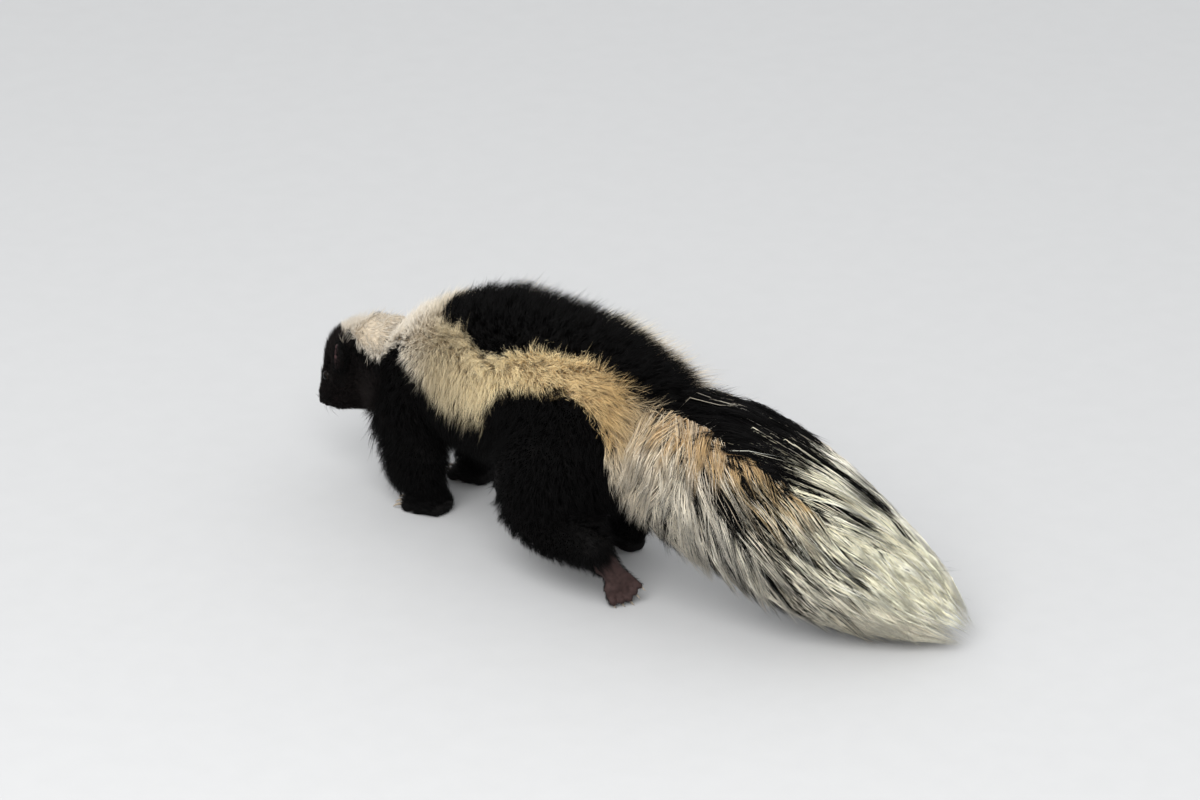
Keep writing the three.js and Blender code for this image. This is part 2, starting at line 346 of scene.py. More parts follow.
OUT = np.array([-130.0, -310.0, -20.0]), 2.5, (98, 250, 98)  # low corner, spacing and shape
OUT_SWELL = 0.9  # closes the cracks between neighbouring solids
solids = [node_mesh(name, 0.3) for name in FLESH if not name.startswith("ear")]
starts = np.cumsum([0] + [len(points) for points, _ in solids[:-1]])
joined = (
    np.vstack([points for points, _ in solids]),
    (),
    np.vstack([tris + start for (_, tris), start in zip(solids, starts)]),
)
hull_points, hull_quads = surface(level(joined, *OUT), *OUT[:2], OUT_SWELL)
outline = Field(*OUT[:2], level((hull_points, hull_quads, ()), *OUT, 25, 80) + OUT_SWELL)

# ---- The animal's own shape under its coat ----


def shifted(stations):
    s = np.array(stations, float)
    s[:, :3] -= MIDDLE
    return s


# x, y, z of the middle, half width, reach above, reach below: neck, trunk, rump, and the tail's core
BODY = shifted([
    [-8, -118, 112, 22, 10, 34], [-11, -98, 112, 27, 16, 41], [-18, -76, 110, 33, 28, 45],
    [-26, -48, 112, 39, 44, 47], [-30, -10, 117, 45, 56, 52], [-32, 35, 120, 50, 62, 57],
    [-33, 80, 123, 53, 63, 61], [-34, 125, 124, 54, 62, 59], [-37, 165, 122, 49, 56, 52],
    [-42, 198, 120, 38, 45, 42], [-49, 224, 123, 25, 31, 30], [-56, 246, 122, 16, 18, 18],
    [-66, 278, 113, 11.5, 12, 12], [-82, 310, 95, 9.5, 10, 10], [-98, 335, 76, 8, 8, 8],
    [-111, 352, 61, 6, 6, 6], [-121, 365, 50, 3.5, 3.5, 3.5],
])
LEG_SHAPES = {
    "fore_left": shifted([
        [-5, -46, 110, 20, 36, 26], [-1, -49, 85, 22, 39, 28], [1, -49, 63, 20, 36, 27],
        [4, -45, 43, 17, 30, 26], [5, -40, 27, 14, 24, 24], [4, -33, 14, 11, 13, 15],
    ]),
    "fore_right": shifted([
        [-54, -46, 108, 20, 28, 26], [-59, -51, 83, 20, 27, 26], [-61, -54, 62, 17, 23, 23],
        [-62, -55, 44, 14, 18, 19], [-62, -54, 27, 12, 15, 16], [-62, -50, 13, 10, 12, 12],
    ]),
    "hind_left": shifted([
        [-8, 152, 116, 29, 43, 38], [3, 130, 92, 31, 46, 42], [12, 106, 70, 24, 33, 33],
        [16, 116, 58, 19, 24, 26], [17, 140, 54, 16, 21, 22], [16, 165, 52, 13, 17, 18],
        [16, 188, 51, 9.5, 11, 13],
    ]),
    "hind_right": shifted([
        [-60, 150, 114, 29, 43, 38], [-72, 128, 90, 30, 43, 40], [-78, 107, 65, 22, 29, 29],
        [-76, 111, 44, 16, 19, 21], [-74, 120, 26, 12, 14, 17], [-73, 125, 13, 10, 11, 12],
    ]),
}
LEG_UP = {limb: (0, -1, 0) for limb in LIMBS}
LEG_UP["hind_left"] = (0.0, -0.45, 1.0)
FEET = {
    "fore_left": dict(kind="fore", at=(1, -20, 0), yaw=12),
    "fore_right": dict(kind="fore", at=(-62, -42, 0), yaw=10),
    "hind_left": dict(kind="hind", at=(16, 194, 50), along=(-25, 10, -50), sole=(0.4, 0.9, 0.15)),
    "hind_right": dict(kind="hind", at=(-72, 127, 0), yaw=-4),
}
FOOT_SHAPES = {
    "fore": dict(ball=-18, spread=5.2, toe=11, radius=4.0, heel=0, claw=13),
    "hind": dict(ball=-38, spread=4.4, toe=12, radius=3.6, heel=2, claw=8),
}
HEAD_AT = np.array([17, -150.5, 55.5]) - MIDDLE
HEAD_TURN = (57, -2, 27)  # pitch, roll and yaw in degrees
HEAD = [
    [0, 5.6, -0.8, 7.2, 6.4, 8.6], [0, 9.0, -1.0, 9.2, 8.2, 12.0], [0, 14, -1.2, 10.6, 9.6, 14.6],
    [0, 22, -1.2, 13.0, 12.0, 18.4], [0, 32, -1.5, 16.2, 15.0, 22.4], [0, 43, -2, 20, 18.5, 26.4],
    [0, 55, -2.5, 23.5, 20.8, 28], [0, 68, -4, 24.5, 19.5, 31], [0, 82, -6, 23.5, 15, 32],
    [0, 95, -10, 22, 12, 30],
]
LIP = [(1.0, 3.6, -7.6), (5.8, 8.2, -9.9), (9.8, 17, -11.6), (13.2, 26, -11.8), (15.0, 31, -10.4)]
FACE = [
    (3.0, (4.6, 9.5, -4.2), (4.6, 7.5, 4.6)),  # muzzle
    (3.5, (0, 7.5, -9.5), (0, 32, -21), 4.4, 10.0),  # chin
    (7.0, (18.0, 46, -5), (5.5, 12, 8)),  # cheek
    (5.0, (11.0, 27.5, 8.6), (17.0, 41, 10.4), 2.2, 2.2),  # brow
    (-4.0, (0, 24, 14.8), (0, 44, 20.5), 1.4, 1.4),  # the forehead's shallow furrow
]
FACE += [(-1.1, a, b, 0.55, 0.55) for a, b in zip(LIP, LIP[1:])]
EYE = np.array([15.2, 33, 6.2])
EYE_RADIUS = 4.2
EAR = np.array([31.0, 62.6, 4.2])
EAR_UP = np.array([0.22, 0.91, 0.34])
EAR_OPENS = np.array([0.50, -0.70, 0.58])
EAR_SIZE = np.array([8.8, 5.0, 13.8])
EAR_STEPS = [
    (-1.0, (0.5, 5.4, -0.8), (6.8, 7.4, 11.0)),
    (1.5, (-4.5, 2.0, -8.5), (2.6, 2.6, 3.6)),
    (1.2, (-3.5, -1.6, 5.0), (2.5, -1.4, -3.5), 0.9, 0.7),
]


def turn(axis, degrees):
    c, s = math.cos(math.radians(degrees)), math.sin(math.radians(degrees))
    i, j = [(1, 2), (2, 0), (0, 1)]["xyz".index(axis)]
    m = np.eye(3)
    m[i, i] = m[j, j] = c
    m[i, j], m[j, i] = -s, s
    return m


HEAD_AXES = turn("z", HEAD_TURN[2]) @ turn("y", HEAD_TURN[1]) @ turn("x", HEAD_TURN[0])


def to_head(p):
    return (p - HEAD_AT) @ HEAD_AXES


def from_head(p):
    return p @ HEAD_AXES.T + HEAD_AT


def foot_frame(foot):
    """A foot's origin, and its axes as columns: the foot's side, its back and its top."""
    origin = np.array(foot["at"], float) - MIDDLE
    if "along" not in foot:
        return origin, turn("z", foot["yaw"])
    back = -unit(foot["along"])
    down = np.array(foot["sole"], float)
    top = -unit(down - back * (down @ back))
    return origin, np.stack([np.cross(back, top), back, top], -1)


def to_foot(p, foot):
    origin, axes = foot_frame(foot)
    return (p - origin) @ axes


def from_foot(q, foot):
    origin, axes = foot_frame(foot)
    return q @ axes.T + origin


def toe_line(shape, i):
    fan = math.radians(i * 7)
    start = np.array([i * shape["spread"], shape["ball"] + abs(i) * 2.2, 5.0])
    end = start + np.array([math.sin(fan), -math.cos(fan), 0]) * shape["toe"] + [0, 0, -0.7]
    return start, end, unit(end - start)


def box_of(points, margin=8.0):
    """The part of the body's grid round some points, as slices and as its points."""
    a = np.maximum(np.floor((points.min(0) - margin - LOW) / VOXEL).astype(int), 0)
    b = np.minimum(np.ceil((points.max(0) + margin - LOW) / VOXEL).astype(int) + 1, SHAPE)
    return tuple(slice(i, j) for i, j in zip(a, b)), grid_points(LOW + VOXEL * a, VOXEL, b - a)


def box_corners(low, high):
    return np.array([[x, y, z] for x, y, z in np.ndindex(2, 2, 2)]) * np.subtract(high, low) + low


def paw_field(p, foot):
    """Distance to a paw, from points in the foot's own frame."""
    shape = FOOT_SHAPES[foot["kind"]]
    fore = foot["kind"] == "fore"
    ball, r = shape["ball"], shape["radius"]
    out = None
    for i in range(-2, 3):
        start, end, _ = toe_line(shape, i)
        heel = np.array([i * (3.0 if fore else 1.9), shape["heel"], 6.5 if fore else 6.0])
        bone = capsule(p, heel, start + [0, 1.5, 0.6], 6.0 if fore else 5.0, 4.9 if fore else 4.4)
        middle = (start + end) / 2 + [0, 0, 1.0]
        toe = blend(capsule(p, start, middle, r, r * 0.95), capsule(p, middle, end, r * 0.95, r * 0.88), 1.5)
        pad = ellipsoid(p, end + [0, 1.5, -2.0], (r * 0.85, r * 1.05, 2.6))
        toe = blend(toe, pad, 1.0)
        bone = bone if out is None else blend(out, bone, 3.0)
        out = blend(bone, toe, 1.2)
    pads = [(-6, 1, 5.5), (0, -1.5, 6), (6, 1, 5.5)] if fore else [(-5, 1.5, 5), (0, -1, 5.2), (5, 1.5, 5)]
    steps = [(1.0, (x, ball + 4 + y, 3.2), (size * 0.8, size, 3.4)) for x, y, size in pads]
    if fore:
        steps.append((1.0, (4, shape["heel"] - 5, 3.0), (4.5, 5, 3.2)))
    else:
        steps += [(2.5, (x, 1, 5.4), (x * 1.2, -26, 4.6), 5.6, 5.0) for x in (-3.4, 3.4)]
    return sculpt(out, p, steps)


def head_field():
    """The head's distances on a fine grid in its own frame."""
    low, step, shape = np.array([-36.0, -6.0, -48.0]), 0.6, (121, 176, 122)
    values = level(loft(HEAD, sides=64, caps=(0.5, 0.4)), low, step, shape)
    # Half of the head is worked out and mirrored
    p = grid_points(low, step, shape).astype(np.float32)
    p[..., 0] = np.abs(p[..., 0])
    values = sculpt(values, p, FACE)
    # Eyelids round an almond opening
    outwards = unit(np.array([0.93, -0.28, 0.24]))
    along = unit(np.cross([0.0, 0.0, 1.0], outwards))
    along = unit(along * 0.96 + np.cross(outwards, along) * 0.28)
    across = np.cross(outwards, along)
    q = p - EYE
    distance = np.linalg.norm(q, axis=-1)
    values = blend(values, distance - (EYE_RADIUS + 1.15), 2.6)
    almond = (np.sqrt((q @ along / 3.9) ** 2 + (q @ across / 2.55) ** 2 + 1e-6) - 1) * 2.4
    values = carve(values, np.maximum(almond, 0.6 - q @ outwards), 0.7)
    values = carve(values, distance - (EYE_RADIUS + 0.12), 0.25)
    return Field(low, step, values)


EAR_EDGE = 1.12  # how far out, by ear_reach, an ear's points lie
EAR_C = unit(EAR_UP)
EAR_B = unit(EAR_OPENS - (EAR_OPENS @ EAR_C) * EAR_C)
EAR_AXES = np.stack([np.cross(EAR_B, EAR_C), EAR_B, EAR_C], -1)


def to_ear(q):
    """Points in the head's frame, mirrored onto the left ear and turned to its width, opening and height."""
    return (mirrored(q) - EAR) @ EAR_AXES


def ear_reach(e):
    """How far out of the ear's middle a point is: 1 at its edge."""
    return np.linalg.norm(e / EAR_SIZE, axis=-1)


def ear_cup(e):
    """The distance to the hollow ear, from points in its own frame."""
    return sculpt(ellipsoid(e, (0, 0, 0), EAR_SIZE), e, EAR_STEPS)


def body_field():
    values = level(loft(BODY, rings=5, caps=(0.4, 1)), LOW, VOXEL, SHAPE)
    for limb, stations in LEG_SHAPES.items():
        made = loft(stations, up=LEG_UP[limb], rings=5, sides=32)
        cut, p = box_of(made[0])
        values[cut] = blend(values[cut], level(made, p[0, 0, 0], VOXEL, p.shape[:3]), 7.0)
    for foot in FEET.values():
        cut, p = box_of(from_foot(box_corners((-20, -58, -2), (20, 14, 16)), foot), 4.0)
        values[cut] = blend(values[cut], paw_field(to_foot(p, foot), foot), 2.6)
    head = head_field()
    cut, p = box_of(from_head(box_corners((-34, -5, -46), (34, 97, 24))), 2.0)
    local = to_head(p)
    inside = within(local, head.low, head.low + head.step * (np.array(head.values.shape) - 1))
    found = np.where(inside, head.at(local), BAND).astype(np.float32)
    values[cut] = blend(values[cut], found, 5.0)
    values[cut] = blend(values[cut], ellipsoid(to_ear(local), (0, 0, 0), EAR_SIZE), 3.0)
    return values, head


SOLE_HEIGHT = 0.35  # the soles stand this far over the floor, so that they don't share its plane
SHORTEST_FUR = 1.4


def make_skin():
    values, head = body_field()
    under = SOLE_HEIGHT - (LOW[2] + VOXEL * np.arange(SHAPE[2]))
    values = np.maximum(values, under).astype(np.float32)
    points, quads = surface(values, LOW, VOXEL)
    skin = new_object("skin", points, turned_outwards(points, quads, Field(LOW, VOXEL, values)))
    local = to_head(points)
    face = within(local, (-34, -INF, -34), (34, 50, 34))
    refine(skin, face | (ear_reach(to_ear(local)) < 1.5))
    # The face settles onto the fine field
    local = to_head(points_of(skin.data))
    near = within(local, (-33, -5, -46), (33, 58, 24))
    q = local[near]
    weight = 1 - smooth(46, 56, q[:, 1])
    for _ in range(4):
        step = np.clip(head.at(q), -0.6, 0.6)
        q = q - head.slope(q, 0.5) * (step * weight)[:, None]
    local[near] = q
    # The ears are hollowed from the side they open to
    e = to_ear(local)
    ear = (ear_reach(e) < EAR_EDGE) & (e[:, 1] > -1.0)
    probe = e[ear]
    travel = np.zeros(len(probe))
    for _ in range(24):
        travel += np.clip(ear_cup(probe - travel[:, None] * [0, 1, 0]), 0, 1.5) * 0.8
    moved = -EAR_B * (travel * (travel < 11))[:, None]
    moved[:, 0] *= np.sign(local[ear][:, 0])
    local[ear] += moved
    points = from_head(local)
    # Nothing but the paws comes nearer the outline than the shortest fur
    for _ in range(4):
        local = to_head(points)
        jaw = smooth(-8, -15, local[:, 2]) * smooth(4, 12, local[:, 1])
        jaw = jaw * smooth(60, 44, local[:, 1]) * smooth(-44, -36, local[:, 2])
        push = np.clip(outline.at(points) + SHORTEST_FUR - 4.5 * jaw, 0, 2.0) * smooth(14, 24, points[:, 2])
        ears = smooth(1.45, 1.2, ear_reach(to_ear(local)))
        points = points - outline.slope(points, 2.5) * (push * (1 - ears))[:, None]
    skin.data.vertices.foreach_set("co", (points * MM).astype(np.float32).ravel())
    skin.data.update()
    return skin


skin = make_skin()

# ---- Where the markings run ----
SPINE = shifted([
    [-6, -114, 116, 30, 17, 50], [-11, -98, 113, 36, 26, 56], [-18, -76, 110, 43, 42, 58],
    [-26, -48, 113, 51, 61, 60], [-30, -10, 118, 59, 74, 66], [-32, 35, 121, 64, 80, 71],
    [-33, 80, 124, 68, 81, 75], [-34, 125, 125, 69, 80, 73], [-37, 165, 122, 64, 78, 67],
    [-43, 198, 117, 59, 74, 64], [-51, 236, 109, 58, 72, 66], [-66, 280, 97, 61, 71, 69],
    [-90, 324, 72, 59, 65, 64], [-118, 360, 46, 50, 54, 48], [-139, 392, 26, 38, 42, 28],
    [-152, 411, 13, 20, 22, 15],
])
# y, then the angle from the top of the back at which the white begins and ends on the left side
UPPER = [
    (-300, -8), (-172, -6), (-165, 12), (-157, 29), (-140, 36), (-123, 35), (-107, 42), (-93, 48),
    (-79, 50), (-58, 41), (-45, 38), (-31, 32), (-4, 30), (15, 23), (35, 26), (54, 29), (63, 30),
    (76, 36), (95, 37), (118, 40), (300, 40),
]
LOWER = [
    (-300, 60), (-262, 59), (-252, 62), (-243, 68), (-235, 76), (-226, 79), (-217, 79), (-208, 76),
    (-202, 67), (-197, 61), (-180, 72), (-167, 81), (-157, 84), (-146, 90), (-133, 98), (-110, 101),
    (-88, 98), (-75, 97), (-58, 82), (-45, 69), (-30, 65), (-6, 60), (8, 50), (23, 52), (40, 57),
    (52, 64), (58, 80), (66, 118), (76, 134), (300, 134),
]
# The right side's own upper edge, nearer the middle of the back
RIGHT = [
    (-300, -8), (-172, -4), (-165, 10), (-157, 26), (-107, 38), (-79, 42), (-45, 34), (-30, 31), (0, 31),
    (40, 33), (76, 40), (118, 46), (300, 46),
]
# Height on the head, then how far back from the nose the white cap begins there
CAP = [
    (-60, 132), (-28, 104), (-24, 88), (-18, 81), (-10, 76), (-3, 73), (4, 73), (12, 72), (18, 63),
    (24, 53), (40, 50),
]


def around(p):
    """The angle from the top of the back in degrees, positive on the left."""
    y = p[..., 1]
    x = np.interp(y, SPINE[:, 1], SPINE[:, 0])
    z = np.interp(y, SPINE[:, 1], SPINE[:, 2])
    return np.degrees(np.arctan2(p[..., 0] - x, p[..., 2] - z))


def white_at(p):
    """How far a point lies inside the white markings, in millimetres, negative in the black."""
    y, z = p[..., 1], p[..., 2]
    angle = around(p)
    left = np.minimum(angle - table(UPPER, y), table(LOWER, y) - angle)
    right = np.minimum(-angle - table(RIGHT, y), table(LOWER, y) + angle)
    stripe = np.maximum(left, right) * 1.1
    q = to_head(p)
    cap = np.minimum(q[..., 1] - table(CAP, q[..., 2]), (q[..., 2] + 27) * 1.2)
    body = mix(np.minimum(cap, stripe), stripe, smooth(-200, -185, y))
    body = np.where((y > -140) & (z < 62), np.minimum(body, (z - 105) * 0.2), body)
    # The thin line down the forehead
    blaze = np.minimum(2.4 - np.abs(q[..., 0]), np.minimum(q[..., 1] - 15, 49 - q[..., 1]))
    return np.maximum(body, np.minimum(blaze, q[..., 2] - 4))


CREAM_AT = [-260, -190, -140, -60, 10, 60, 110, 160, 230, 270]
CREAM = [
    [0.65, 0.595, 0.51], [0.75, 0.70, 0.61], [0.54, 0.46, 0.31], [0.87, 0.74, 0.47], [0.84, 0.67, 0.38],
    [0.62, 0.44, 0.205], [0.80, 0.72, 0.56], [0.84, 0.80, 0.71], [0.97, 0.93, 0.73], [0.97, 0.94, 0.73],
]


def cream(p):
    """The colour of white hair at a point: yellowest over the hips, palest on the nape and the far side."""
    y = p[..., 1]
    near = follow(CREAM, CREAM_AT, y)
    angle = around(p)
    far = (smooth(5, -10, angle) * smooth(-150, -60, y))[..., None]
    near = mix(near, near * 0.4 + np.array([0.85, 0.82, 0.74]) * 0.6, far)
    low = (smooth(68, 92, angle) * smooth(25, 52, y))[..., None]
    return mix(near, near * 0.3 + np.array([0.80, 0.75, 0.64]) * 0.7, low)


BLACK = np.array([0.0019, 0.0017, 0.0017])

# ---- Materials ----


def material(name, roughness, colour=None, specular=0.5, vary=0.12, scale=900.0, coat=0.0, sheen=0.0,
             bump=0.0, bump_scale=600.0):
    """A Principled material of one colour, or of the mesh's own colours, broken up by fine noise."""
    mat = bpy.data.materials.new(name)
    mat.use_nodes = True
    links = mat.node_tree.links
    shader = mat.node_tree.nodes["Principled BSDF"]

    def node(kind, **sockets):
        made = mat.node_tree.nodes.new("ShaderNode" + kind)
        for socket, value in sockets.items():
            made.inputs[socket.replace("_", " ")].default_value = value
        return made

    settings = {"Roughness": roughness, "Specular IOR Level": specular, "Coat Weight": coat,
                "Coat Roughness": 0.08, "Sheen Weight": sheen}
    for socket, value in settings.items():
        shader.inputs[socket].default_value = value
    place = node("TexCoord")
    noise = node("TexNoise", Scale=scale, Detail=3.0)
    links.new(place.outputs["Object"], noise.inputs["Vector"])
    span = node("MapRange", From_Min=0.3, From_Max=0.7, To_Min=1 - vary, To_Max=1 + vary)
    links.new(noise.outputs["Fac"], span.inputs["Value"])
    if colour is None:
        base = node("VertexColor")
        base.layer_name = "Col"
    else:
        base = node("RGB")
        base.outputs[0].default_value = (*colour, 1)
    scaled = node("VectorMath")
    scaled.operation = "SCALE"
    links.new(base.outputs[0], scaled.inputs[0])
    links.new(span.outputs["Result"], scaled.inputs["Scale"])
    links.new(scaled.outputs["Vector"], shader.inputs["Base Color"])
    if bump:
        fine = node("TexNoise", Scale=bump_scale, Detail=4.0)
        links.new(place.outputs["Object"], fine.inputs["Vector"])
        height = node("Bump", Strength=bump, Distance=0.0006)
        links.new(fine.outputs["Fac"], height.inputs["Height"])
        links.new(height.outputs["Normal"], shader.inputs["Normal"])
    return mat


FUR = material("fur_black", 0.55, specular=0.09, scale=420.0)
FUR_PALE = material("fur_white", 0.6, specular=0.12, vary=0.10, scale=420.0, sheen=0.12)
SKIN = material("skin_under_coat", 0.68, specular=0.10, vary=0.25, scale=300.0, bump=0.9, bump_scale=950.0)
NOSE_PAD = material("nose_leather", 0.42, (0.0065, 0.005, 0.005), specular=0.10, vary=0.3, scale=500.0,
                    coat=0.02, bump=0.7, bump_scale=1300.0)
EYE_MAT = material("eye_gloss", 0.05, specular=0.05, vary=0.1, scale=700.0, coat=0.02)
CLAW = material("claw_horn", 0.32, vary=0.18, scale=350.0, coat=0.15, bump=0.25, bump_scale=1500.0)


def finish_piece(made, mat, nodes=()):
    made.data.materials.clear()
    made.data.materials.append(mat)
    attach(made, "root")
    if nodes:
        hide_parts(*nodes)


# ---- Skin colours ----
BLACK_SKIN = np.array([0.0034, 0.0029, 0.0027])
SOLE_SKIN = np.array([0.040, 0.024, 0.022])
LIP_SKIN = np.array([0.020, 0.013, 0.013])
EAR_SKIN = np.array([0.016, 0.010, 0.010])
EAR_PINK = np.array([0.078, 0.042, 0.043])
skin_points = points_of(skin.data)
skin_normals = read(skin.data.vertices, "normal", 3).astype(float)


def bareness(p, n):
    """How bare the skin of the feet is at a point: 1 on the soles and the toe pads."""
    bare = np.zeros(len(p))
    for foot in FEET.values():
        q = to_foot(p, foot)
        down = -(n @ foot_frame(foot)[1])[:, 2]
        near = within(q, (-22, -60, -4), (22, -4, 7))
        hairy = -6 if foot["kind"] == "fore" else -3
        # The lifted foot shows its whole sole
        turned, far = (-0.05, 0.3) if "along" in foot else (0.35, 0.7)
        bare = np.maximum(bare, near * smooth(turned, far, down) * smooth(hairy, hairy - 8, q[:, 1]))
    return bare


def skin_colour(p, n):
    w = smooth(-2, 2, white_at(p))[:, None]
    # Under the white hair the skin is a darkened cream: painted shade, so the gaps between the locks read
    # dark
    base = mix(BLACK_SKIN, cream(p) * [0.72, 0.66, 0.58], w)
    base = mix(base, SOLE_SKIN, bareness(p, n)[:, None])
    q = to_head(p)
    lips = smooth(32, 26, q[:, 1]) * smooth(2.0, 0.8, np.abs(q[:, 2] + 6.8 + q[:, 1] * 0.16))
    base = mix(base, LIP_SKIN, (lips * (np.abs(q[:, 0]) < 16))[:, None])
    e = to_ear(q)
    deep = np.linalg.norm(e / [9.0, 12.0, 12.6], axis=-1)
    hollow = smooth(0.5, 2.0, e[:, 1] + 3.0) * smooth(1.0, 0.85, deep)
    pink = smooth(-1.0, 2.0, e[:, :1])
    return mix(base, mix(EAR_SKIN, EAR_PINK, pink), hollow[:, None])


paint(skin, skin_colour(skin_points, skin_normals))
finish_piece(skin, SKIN, FLESH)

# ---- Eyes, nose and claws ----


def sphere_mesh(rows=40, sides=56):
    """A ball of radius 1 with its poles on z."""
    t = np.linspace(0, math.pi, rows + 1)[1:-1]
    ring = np.arange(sides) / sides * 2 * math.pi
    p = np.stack([np.outer(np.sin(t), np.cos(ring)), np.outer(np.sin(t), np.sin(ring)),
                  np.outer(np.cos(t), np.ones(sides))], -1).reshape(-1, 3)
    quads, tris = tube_faces(rows - 1, sides)
    return np.vstack([p, [[0, 0, 1], [0, 0, -1]]]), quads[:, [0, 3, 2, 1]], tris[:, [0, 2, 1]]


GAZE = unit(np.array([0.90, -0.38, 0.20]))
PUPIL = np.array([0.002, 0.0018, 0.0018])
IRIS = np.array([0.009, 0.0055, 0.0035])
EYE_WHITE = np.array([0.010, 0.007, 0.006])
for side, name in ((1, "eye_left"), (-1, "eye_right")):
    across = unit(np.cross(GAZE, [0, 0, 1.0]))
    up = np.cross(across, GAZE)
    ball, quads, tris = sphere_mesh()
    # The pole of the ball looks out, and the cornea stands a little proud of it
    off = np.degrees(np.arccos(np.clip(ball[:, 2], -1, 1)))
    radius = EYE_RADIUS * (1 + 0.055 * smooth(46, 10, off))
    local = EYE + radius[:, None] * (ball[:, :1] * across + ball[:, 1:2] * up + ball[:, 2:] * GAZE)
    local[:, 0] *= side
    if side < 0:
        quads, tris = quads[:, ::-1], tris[:, ::-1]
    eye = new_object(name, from_head(local), quads, tris)
    shade = mix(PUPIL, IRIS, (smooth(30, 36, off) * smooth(52, 46, off))[:, None])
    paint(eye, mix(shade, EYE_WHITE, smooth(56, 64, off)[:, None]))
    finish_piece(eye, EYE_MAT, [name])


def make_nose():
    low, step, shape = np.array([-8.4, -5.6, -7.0]), 0.35, (49, 48, 41)
    p = mirrored(grid_points(low, step, shape)) - [0, 2.6, 0]
    v = sculpt(ellipsoid(p, (0, 2.6, 0.5), (5.0, 4.6, 4.1)), p, [
        (1.2, (3.1, 1.7, -0.2), (2.6, 3.6, 3.0)),
        (1.0, (0, 0.4, -1.5), (0, 2.0, -4.8), 1.3, 1.0),
    ])
    nostril = capsule(p, (2.5, -3.2, -0.1), (2.3, 0.6, 0.3), 1.15, 0.8)
    slit = capsule(p, (3.1, -2.2, -0.4), (5.6, 1.4, -1.4), 0.55, 0.4)
    v = carve(v, np.minimum(nostril, slit), 0.5)
    v = carve(v, capsule(p, (0, -2.2, 0.8), (0, -0.8, -5.0), 0.35, 0.4), 0.5)
    v = v.astype(np.float32)
    points, quads = surface(v, low, step)
    quads = turned_outwards(points, quads, Field(low, step, v))
    finish_piece(new_object("nose_pad", from_head(points), quads), NOSE_PAD, ["nose"])


make_nose()

HORN = np.array([0.075, 0.055, 0.040])
HORN_TIP = np.array([0.30, 0.25, 0.19])
for limb, foot in FEET.items():
    shape = FOOT_SHAPES[foot["kind"]]
    points, quads, tris, colours = [], [], [], []
    for i in range(-2, 3):
        start, end, way = toe_line(shape, i)
        length = (shape["claw"] - (0.8 if foot["kind"] == "hind" else 0.0)) * (1 - 0.1 * abs(i))
        flat = unit(way * [1, 1, 0])
        t = np.linspace(0, 1, 12)[:, None]
        base = end - flat * 0.8 + [0, 0, 0.6]
        bend = end + flat * length * 0.62 + [0, 0, 1.9]
        tip = end + flat * (length + 0.6) + [0, 0, -2.7]
        radius = 1.55 * (1 - t**1.5) ** 0.62 + 0.14
        stations = np.hstack([bow(base, bend, tip, t), radius * 0.66, radius, radius * 0.92])
        made = loft(stations, rings=2, sides=14, caps=(0.8, 0.8))
        count = sum(len(x) for x in points)
        points.append(made[0])
        quads.append(made[1] + count)
        tris.append(made[2] + count)
        run = ((made[0] - base) @ flat) / length
        colours.append(mix(HORN, HORN_TIP, smooth(0.15, 0.95, run)[:, None]))
    world = from_foot(np.vstack(points), foot)
    world[:, 2] = np.maximum(world[:, 2], 0.15)
    made = new_object(f"claws_{limb}", world, np.vstack(quads), np.vstack(tris))
    paint(made, np.vstack(colours))
    finish_piece(made, CLAW, [f"claw_{limb}_{n}" for n in range(1, 6)])

# ---- The floor, the light and the camera ----
floor_mesh = bpy.data.meshes.new("floor")
floor_mesh.from_pydata([(-30, -30, 0), (30, -30, 0), (30, 30, 0), (-30, 30, 0)], [], [(0, 1, 2, 3)])
floor = add("floor", floor_mesh)
floor.data.materials.append(
    material("floor_pale", 0.9, (0.48, 0.48, 0.48), specular=0.2, vary=0.01, scale=40.0)
)

world = bpy.data.worlds.new("soft_sky")
world.use_nodes = True
sky = world.node_tree.nodes["Background"].inputs
sky["Color"].default_value = (0.97, 0.985, 1.0, 1)
sky["Strength"].default_value = 1.1
bpy.context.scene.world = world

lamp = bpy.data.lights.new("soft_box", "AREA")
lamp.shape = "DISK"
lamp.size = 2.6
lamp.energy = 90
lamp_object = add("soft_box", lamp)
lamp_object.location = (1.75, 1.25, 2.2)
lamp_object.rotation_euler = Vector(lamp_object.location).to_track_quat("Z", "Y").to_euler()

CAMERA_LOOKS_AT = Vector((-0.05918, -0.10969, 0.07840))
CAMERA_DISTANCE = 3.9
azimuth, elevation = math.radians(140), math.radians(24)
level_reach = math.cos(elevation)
back = Vector((math.sin(azimuth) * level_reach, -math.cos(azimuth) * level_reach, math.sin(elevation)))
camera = bpy.data.cameras.new("camera")
camera.sensor_width = 36
camera.lens = 148.6
camera.clip_end = 200
camera_object = add("camera", camera)
camera_object.location = CAMERA_LOOKS_AT + back * CAMERA_DISTANCE
camera_object.rotation_euler = back.to_track_quat("Z", "Y").to_euler()
bpy.context.scene.camera = camera_object
bpy.context.scene.view_settings.view_transform = "Standard"

# ---- The coat: tapered three-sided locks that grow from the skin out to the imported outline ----
PATCH = 0.003  # the width of one lock's patch on the bake map
PIECE_TRIANGLES = 196000
LOCK_FLATNESS = 0.6
skin_tris = triangles_of(skin.data)
tri_a, tri_b, tri_c = (skin_points[skin_tris[:, k]] for k in range(3))
tri_face = np.cross(tri_b - tri_a, tri_c - tri_a)
tri_area = np.linalg.norm(tri_face, axis=1) / 2
tri_middle = (tri_a + tri_b + tri_c) / 3
coat_pieces = []


